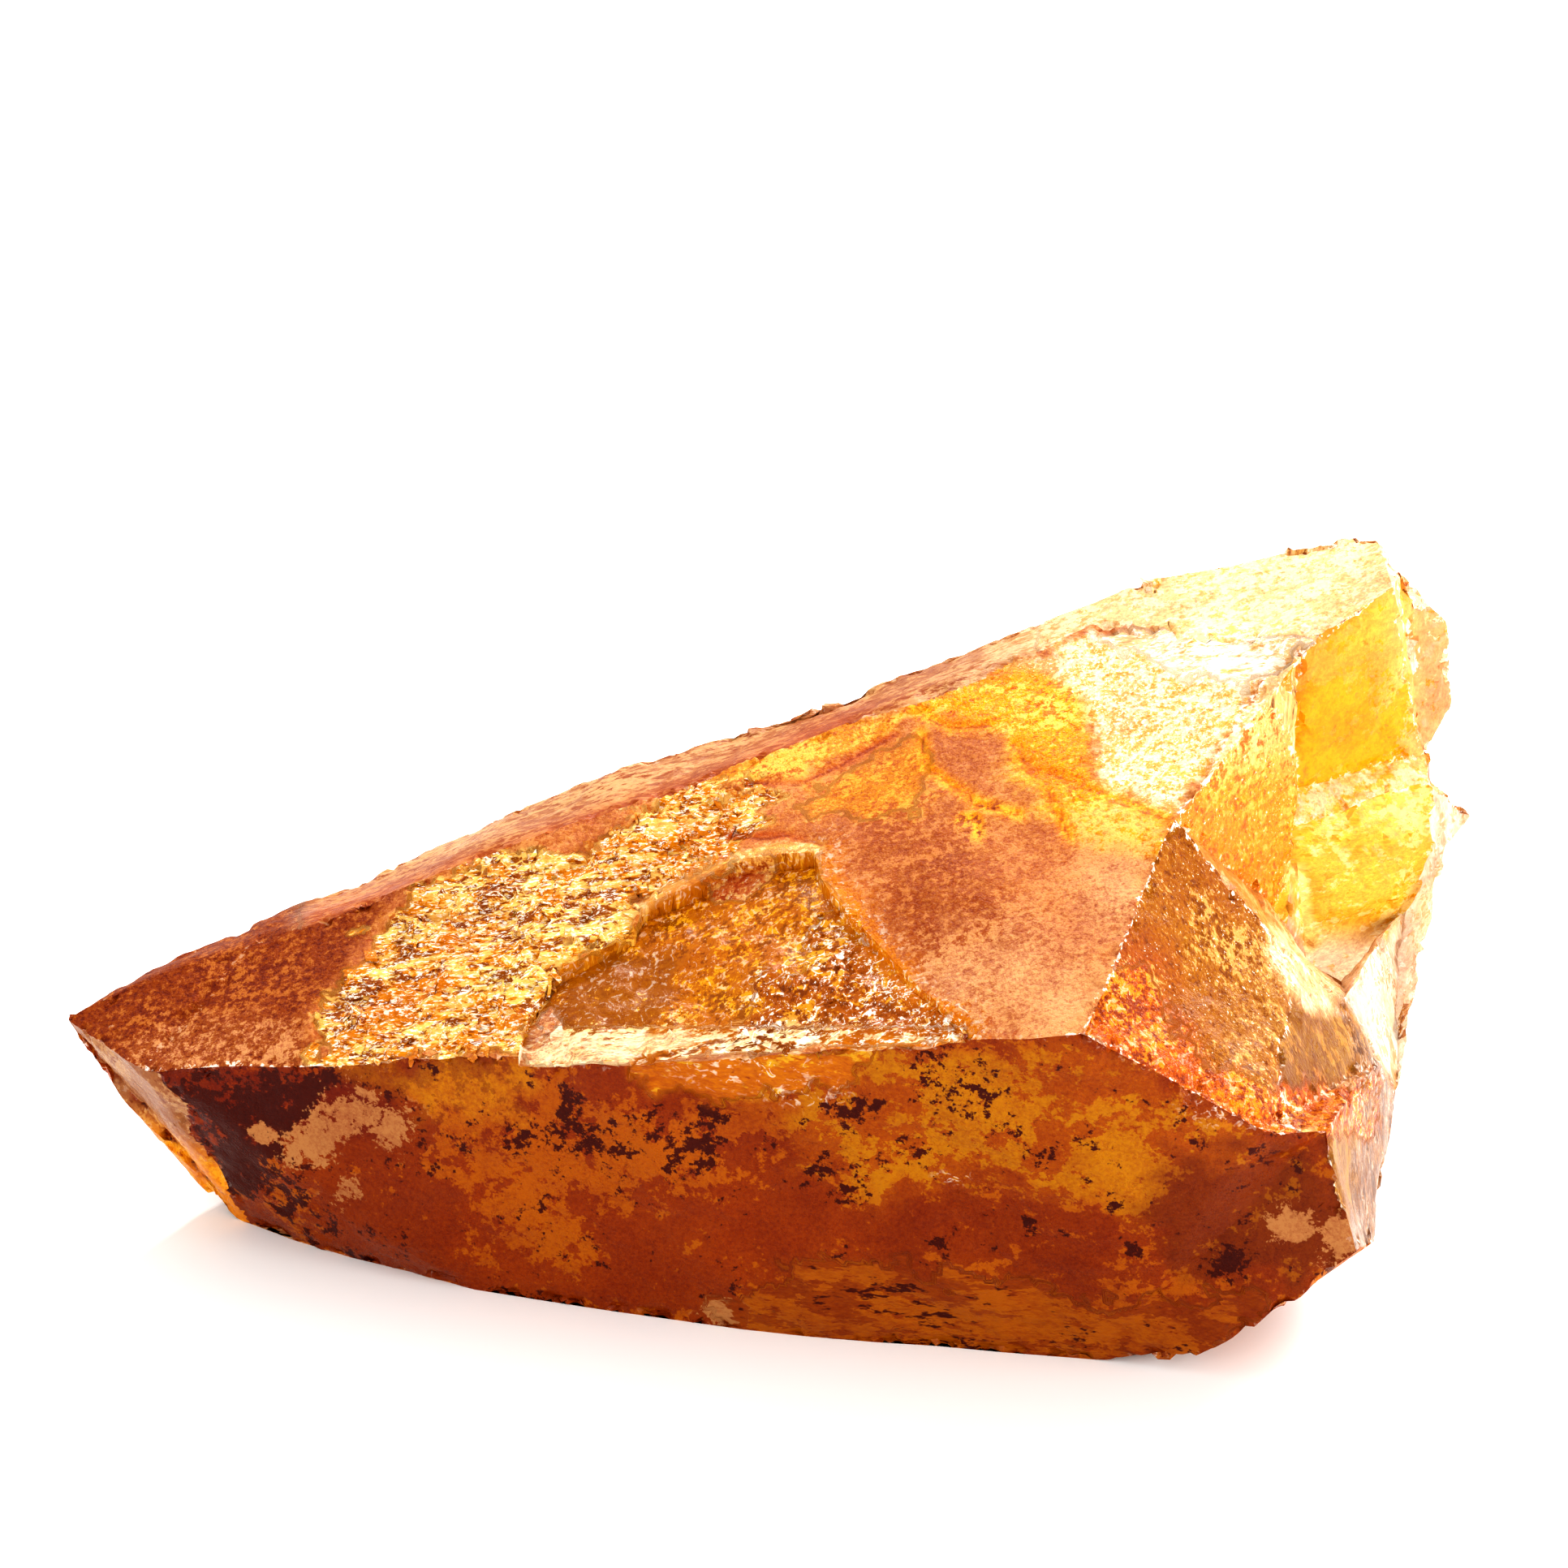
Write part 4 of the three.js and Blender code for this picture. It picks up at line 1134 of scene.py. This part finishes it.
flow = Tree(scatter)
group_in = scatter.nodes.new("NodeGroupInput")
given = {name: Wire(flow, group_in.outputs[name]) for name, _, _ in inputs}
flaking_here = flow.node("GeometryNodeInputNamedAttribute", {"data_type": "FLOAT"}, {"Name": "flaking"})
strewn = flow.node(
    "GeometryNodeDistributePointsOnFaces", {"distribute_method": "RANDOM"},
    {
        "Mesh": given["Stone"], "Seed": given["Seed"],
        "Density": flaking_here * given["Flakes per square metre"],
    },
)
lie = Wire(flow, strewn.socket.node.outputs["Rotation"])
rhomb = flow.node("GeometryNodeMeshCube", {}, {"Size": given["Flake size"]})
corner_at = flow.node("GeometryNodeInputPosition")
parts = flow.node("ShaderNodeSeparateXYZ", {}, {0: corner_at})
across_y = Wire(flow, parts.socket.node.outputs["Y"])
lean = flow.node("ShaderNodeCombineXYZ", {}, {"X": across_y * FLAKE_SLANT})
slanted = flow.node("GeometryNodeSetPosition", {}, {"Geometry": rhomb, "Offset": lean})
tilt_by = flow.node(
    "FunctionNodeRandomValue", {"data_type": "FLOAT_VECTOR"},
    {0: (-TILT, -TILT, -TURN), 1: (TILT, TILT, TURN), "Seed": given["Seed"]},
)
turned = flow.node("FunctionNodeEulerToRotation", {}, {0: tilt_by})
rotation = flow.node("FunctionNodeRotateRotation", {"rotation_space": "LOCAL"}, {0: lie, 1: turned})
bigger = flow.node(
    "FunctionNodeRandomValue", {"data_type": "FLOAT_VECTOR"},
    {0: SMALLEST, 1: LARGEST, "Seed": given["Seed"]},
)
laid = flow.node(
    "GeometryNodeInstanceOnPoints", {},
    {"Points": strewn, "Instance": slanted, "Rotation": rotation, "Scale": bigger},
)
real = flow.node("GeometryNodeRealizeInstances", {}, {"Geometry": laid})
together = scatter.nodes.new("GeometryNodeJoinGeometry")
for wire in (real, given["Stone"]):
    scatter.links.new(wire.socket, together.inputs[0])
finished = flow.node(
    "GeometryNodeSetMaterial", {},
    {"Geometry": Wire(flow, together.outputs[0]), "Material": given["Finish"]},
)
group_out = scatter.nodes.new("NodeGroupOutput")
scatter.links.new(finished.socket, group_out.inputs[0])
print("scatter tree:", len(scatter.nodes), "nodes")

# %% [markdown]
# ## The stone's one material
# Calcite is clear; its honey colour sits in the skin and in the depth. So there are two
# surfaces with an index of refraction near calcite's: a cloudy one that lets a little light
# through and a clear one that lets most of it through. The painted `clear` mixes them, and
# inside the stone an absorption eats blue first. The looks choose between ground, patch and stain
# where fine noise crosses a threshold, which gives the ragged borders of real iron stain. The
# broken end's dark corners get a painted glow: an emission that stands in for light shining
# through the thin stone. White glints and wriggling highlight lines are painted into the colour
# too.

# %% Honey calcite
CALCITE_IOR = 1.6
SHEEN = 0.05
SEE_THROUGH = 0.12
CLEAR_SEE_THROUGH = 0.9
PAINTED_GLOW_STRENGTH = 0.8
HONEY = (1.0, 0.84, 0.0, 1)
HONEY_DENSITY = 380
# white of the worn edges, and of the painted glints and painted highlight lines
WHITE_WEAR_AND_HIGHLIGHT = (1.0, 0.95, 0.84, 1)

honey = bpy.data.materials.new("honey_calcite_crystal")
honey.use_nodes = True
honey.node_tree.nodes.clear()
web = Tree(honey.node_tree)


def painted(name, out="Fac"):
    return web.node("ShaderNodeAttribute", {"attribute_name": name}, out=out)


def noise(where, per_mm, detail=5, roughness=0.6, distortion=0.0):
    """Noise from about -0.35 to 0.35."""
    sockets = {
        "Vector": where, "Scale": per_mm, "Detail": detail, "Roughness": roughness,
        "Distortion": distortion,
    }
    return web.node("ShaderNodeTexNoise", {}, sockets) - 0.5


def shifted(where, by):
    return web.node("ShaderNodeVectorMath", {"operation": "ADD"}, {0: where, 1: by})


def threshold(value, sharpness):
    return (value * sharpness + 0.5).clamped()


metres = web.node("ShaderNodeTexCoord", out="Object")
mm = web.node("ShaderNodeVectorMath", {"operation": "SCALE"}, {0: metres, "Scale": 1 / MM})
along, upright, fine = painted("along"), painted("upright"), painted("fine")
squeeze = web.node(
    "ShaderNodeCombineXYZ", {},
    {
        "X": 1 - along * 0.6 + upright * 0.4,
        "Y": 1 + along * 0.3 + upright * 0.4,
        "Z": 1 + along * 0.3 - upright * 0.7,
    },
)
run = web.node("ShaderNodeVectorMath", {"operation": "MULTIPLY"}, {0: mm, 1: squeeze})
broad = noise(run, 0.42, detail=4, roughness=0.74)
specky = noise(run, 1.5, detail=3, roughness=0.74)
stained = noise(shifted(run, (31, 17, 5)), 0.5, detail=4, roughness=0.76)
ragged = fine * 0.6 + 0.4
blotchy = broad * (1 - fine) + specky * ragged
mottled = stained * (1 - fine) - specky * ragged
soft = noise(shifted(mm, (7, 3, 11)), 0.16, detail=2)
sugar = noise(run, 3.4, detail=2, roughness=0.78)
winding = noise(shifted(mm, (3, 19, 2)), 0.75, detail=1, roughness=0.5, distortion=1.0)
print("material reads", ", ".join(LOOKS))

# %% Colour
RAGGEDNESS = 2.2
PATCH_EDGE, STAIN_EDGE, GLINT_EDGE, HIGHLIGHT_LINE_EDGE = 13, 10, 14, 14
FINE_SOFTENS = 6
HIGHLIGHT_LINE_WIDTH = 0.035
CRACK_SHADE = (0.62, 0.4, 0.25, 1)

blotches = blotchy * RAGGEDNESS + soft * 0.7
mottles = mottled * RAGGEDNESS + soft * 0.5
patch_here = threshold(blotches + painted("patching"), PATCH_EDGE - fine * FINE_SOFTENS)
stain_here = threshold(mottles + painted("staining"), STAIN_EDGE - fine * FINE_SOFTENS)
# painted highlight: white glints where grain noise passes the painted level
painted_glint = threshold(sugar + painted("glitter") - 0.1, GLINT_EDGE)
frayed_edge = threshold(painted("worn") * 0.16 - painted("edge") * 1.2 + specky * 1.9 - 0.2, 12)
cracked = threshold(0.1 - painted("crack") + sugar * 0.3, 9)
# painted highlight: thin wriggling white lines stand in for reflections of the lamps
highlight_line = threshold(HIGHLIGHT_LINE_WIDTH - winding.maths("ABSOLUTE", winding), 30)
painted_highlight_line = highlight_line * threshold(specky - 0.03, HIGHLIGHT_LINE_EDGE) * painted("wriggly")

colour = web.blend(patch_here, painted("ground", "Color"), painted("patch", "Color"))
colour = web.blend(stain_here, colour, painted("stain", "Color"))
sandy = painted("grain") * 1.2 + 0.3
shade = (0.9 + soft * 0.5 + sugar * sandy + specky * 0.35).clamped()
shade_colour = web.node("ShaderNodeCombineColor", {}, {0: shade, 1: shade * shade, 2: shade * shade})
colour = web.blend(1.0, colour, shade_colour, "MULTIPLY")
crack_colour = web.blend(1.0, colour, CRACK_SHADE, "MULTIPLY")
colour = web.blend(cracked, colour, crack_colour)
colour = web.blend(frayed_edge * painted("worn"), colour, WHITE_WEAR_AND_HIGHLIGHT)
# painted glints and painted highlight lines go into the colour in white
colour = web.blend(painted_glint * 0.85, colour, WHITE_WEAR_AND_HIGHLIGHT)
colour = web.blend(painted_highlight_line, colour, WHITE_WEAR_AND_HIGHLIGHT)

# %% Surface
GRAIN_HEIGHT = 0.25
BUMP_STRENGTH = 0.7

gloss = (painted("gloss") + blotchy * 0.25 - painted_glint * 0.1 - painted_highlight_line * 0.1).clamped()
height_mm = painted("grain") * sugar * GRAIN_HEIGHT
bump = web.node(
    "ShaderNodeBump", {}, {"Strength": BUMP_STRENGTH, "Distance": MM, "Height": height_mm},
)
# painted light: where the painted glow is set, the emission makes the stone glow though no lamp is there
body = web.node(
    "ShaderNodeBsdfPrincipled", {},
    {
        "Base Color": colour, "Roughness": gloss, "Normal": bump, "IOR": CALCITE_IOR,
        "Transmission Weight": SEE_THROUGH, "Specular IOR Level": SHEEN,
        "Emission Color": web.blend(painted("glow"), (0, 0, 0, 1), colour),
        "Emission Strength": PAINTED_GLOW_STRENGTH,
    },
)
clear = web.node(
    "ShaderNodeBsdfPrincipled", {},
    {
        "Base Color": colour, "Roughness": gloss, "Normal": bump, "IOR": CALCITE_IOR,
        "Transmission Weight": CLEAR_SEE_THROUGH,
    },
)
surface = web.node("ShaderNodeMixShader", {}, {0: painted("clear"), 1: body, 2: clear})
depth = web.node("ShaderNodeVolumeAbsorption", {}, {"Color": HONEY, "Density": HONEY_DENSITY})
web.node("ShaderNodeOutputMaterial", {}, {"Surface": surface, "Volume": depth})
print("material nodes:", len(honey.node_tree.nodes))

# %% [markdown]
# ## One finished piece
# The scatter runs as a modifier, its result is made a plain mesh, and the modifier goes. The
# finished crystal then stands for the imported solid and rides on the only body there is.

# %% Finish the crystal
modifier = crystal.modifiers.new("loose flakes", "NODES")
modifier.node_group = scatter
for name, _, default in inputs[1:]:
    modifier[socket_of[name]] = honey if name == "Finish" else default
graph = bpy.context.evaluated_depsgraph_get()
finished_mesh = bpy.data.meshes.new_from_object(crystal.evaluated_get(graph), depsgraph=graph)
crystal.modifiers.remove(modifier)
crystal.data = finished_mesh
finished_mesh.materials.clear()
finished_mesh.materials.append(honey)
finished_mesh.polygons.foreach_set("material_index", np.zeros(len(finished_mesh.polygons), int))
finished_mesh.calc_loop_triangles()
print("triangles in all:", len(finished_mesh.loop_triangles), "materials:", finished_mesh.materials[:])

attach(crystal, "root")
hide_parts("calcite_point")

# %% [markdown]
# ## Table and light
# A pale table and a pale room, with two broad lamps like windows, one behind the stone and one
# to its right, so that the broken end is bright and the front stays deep. A softer lamp in front
# keeps the dark stains readable, and a small one high up gives the wet hollow its highlights.
# A stronger contrast than usual in the view keeps the paper white and the stains dark.

# %% Stage
FLOOR_SIZE = 4.0  # metres
PAPER, PAPER_ROUGHNESS = (0.93, 0.92, 0.9, 1), 0.7
ROOM_COLOUR, ROOM_LIGHT = (1, 1, 1, 1), 0.7
EXPOSURE = 0.25
BOUNCES = {"max_bounces": 5, "diffuse_bounces": 2, "glossy_bounces": 2, "transmission_bounces": 3}

half = FLOOR_SIZE / 2
corners = [(-half, -half, 0), (half, -half, 0), (half, half, 0), (-half, half, 0)]
floor_mesh = bpy.data.meshes.new("table")
floor_mesh.from_pydata(corners, [], [(0, 1, 2, 3)])
floor = put("table", floor_mesh)
paper = bpy.data.materials.new("pale_paper")
paper.use_nodes = True
paper.node_tree.nodes["Principled BSDF"].inputs["Base Color"].default_value = PAPER
paper.node_tree.nodes["Principled BSDF"].inputs["Roughness"].default_value = PAPER_ROUGHNESS
floor_mesh.materials.append(paper)

room = bpy.data.worlds.new("pale room")
room.use_nodes = True
room.node_tree.nodes["Background"].inputs["Color"].default_value = ROOM_COLOUR
room.node_tree.nodes["Background"].inputs["Strength"].default_value = ROOM_LIGHT
scene.world = room
scene.view_settings.view_transform = "Standard"
scene.view_settings.look = "High Contrast"
scene.view_settings.exposure = EXPOSURE
for name, count in BOUNCES.items():
    setattr(scene.cycles, name, count)
print("table", FLOOR_SIZE, "m wide, light bounces", BOUNCES["max_bounces"])

# %% Lamps
LAMPS = (  # name, where (mm), width (mm), watts
    ("window behind", (260, 260, 240), 260, 1.4),
    ("window right", (420, -150, 130), 240, 1.0),
    ("soft front", (-200, -380, 220), 260, 0.4),
    ("high spark", (-60, 300, 330), 50, 0.5),
)
LAMPS_AIM_AT = np.array((0, 0, 20))

for name, at, width, watts in LAMPS:
    light = bpy.data.lights.new(name, "AREA")
    light.shape = "DISK"
    light.size = width * MM
    light.energy = watts
    lamp = put(name, light)
    lamp.location = np.array(at) * MM
    direction = (LAMPS_AIM_AT - np.array(at)) * MM
    lamp.rotation_euler = Vector(direction).to_track_quat("-Z", "Y").to_euler()
print("lamps:", ", ".join(row[0] for row in LAMPS))
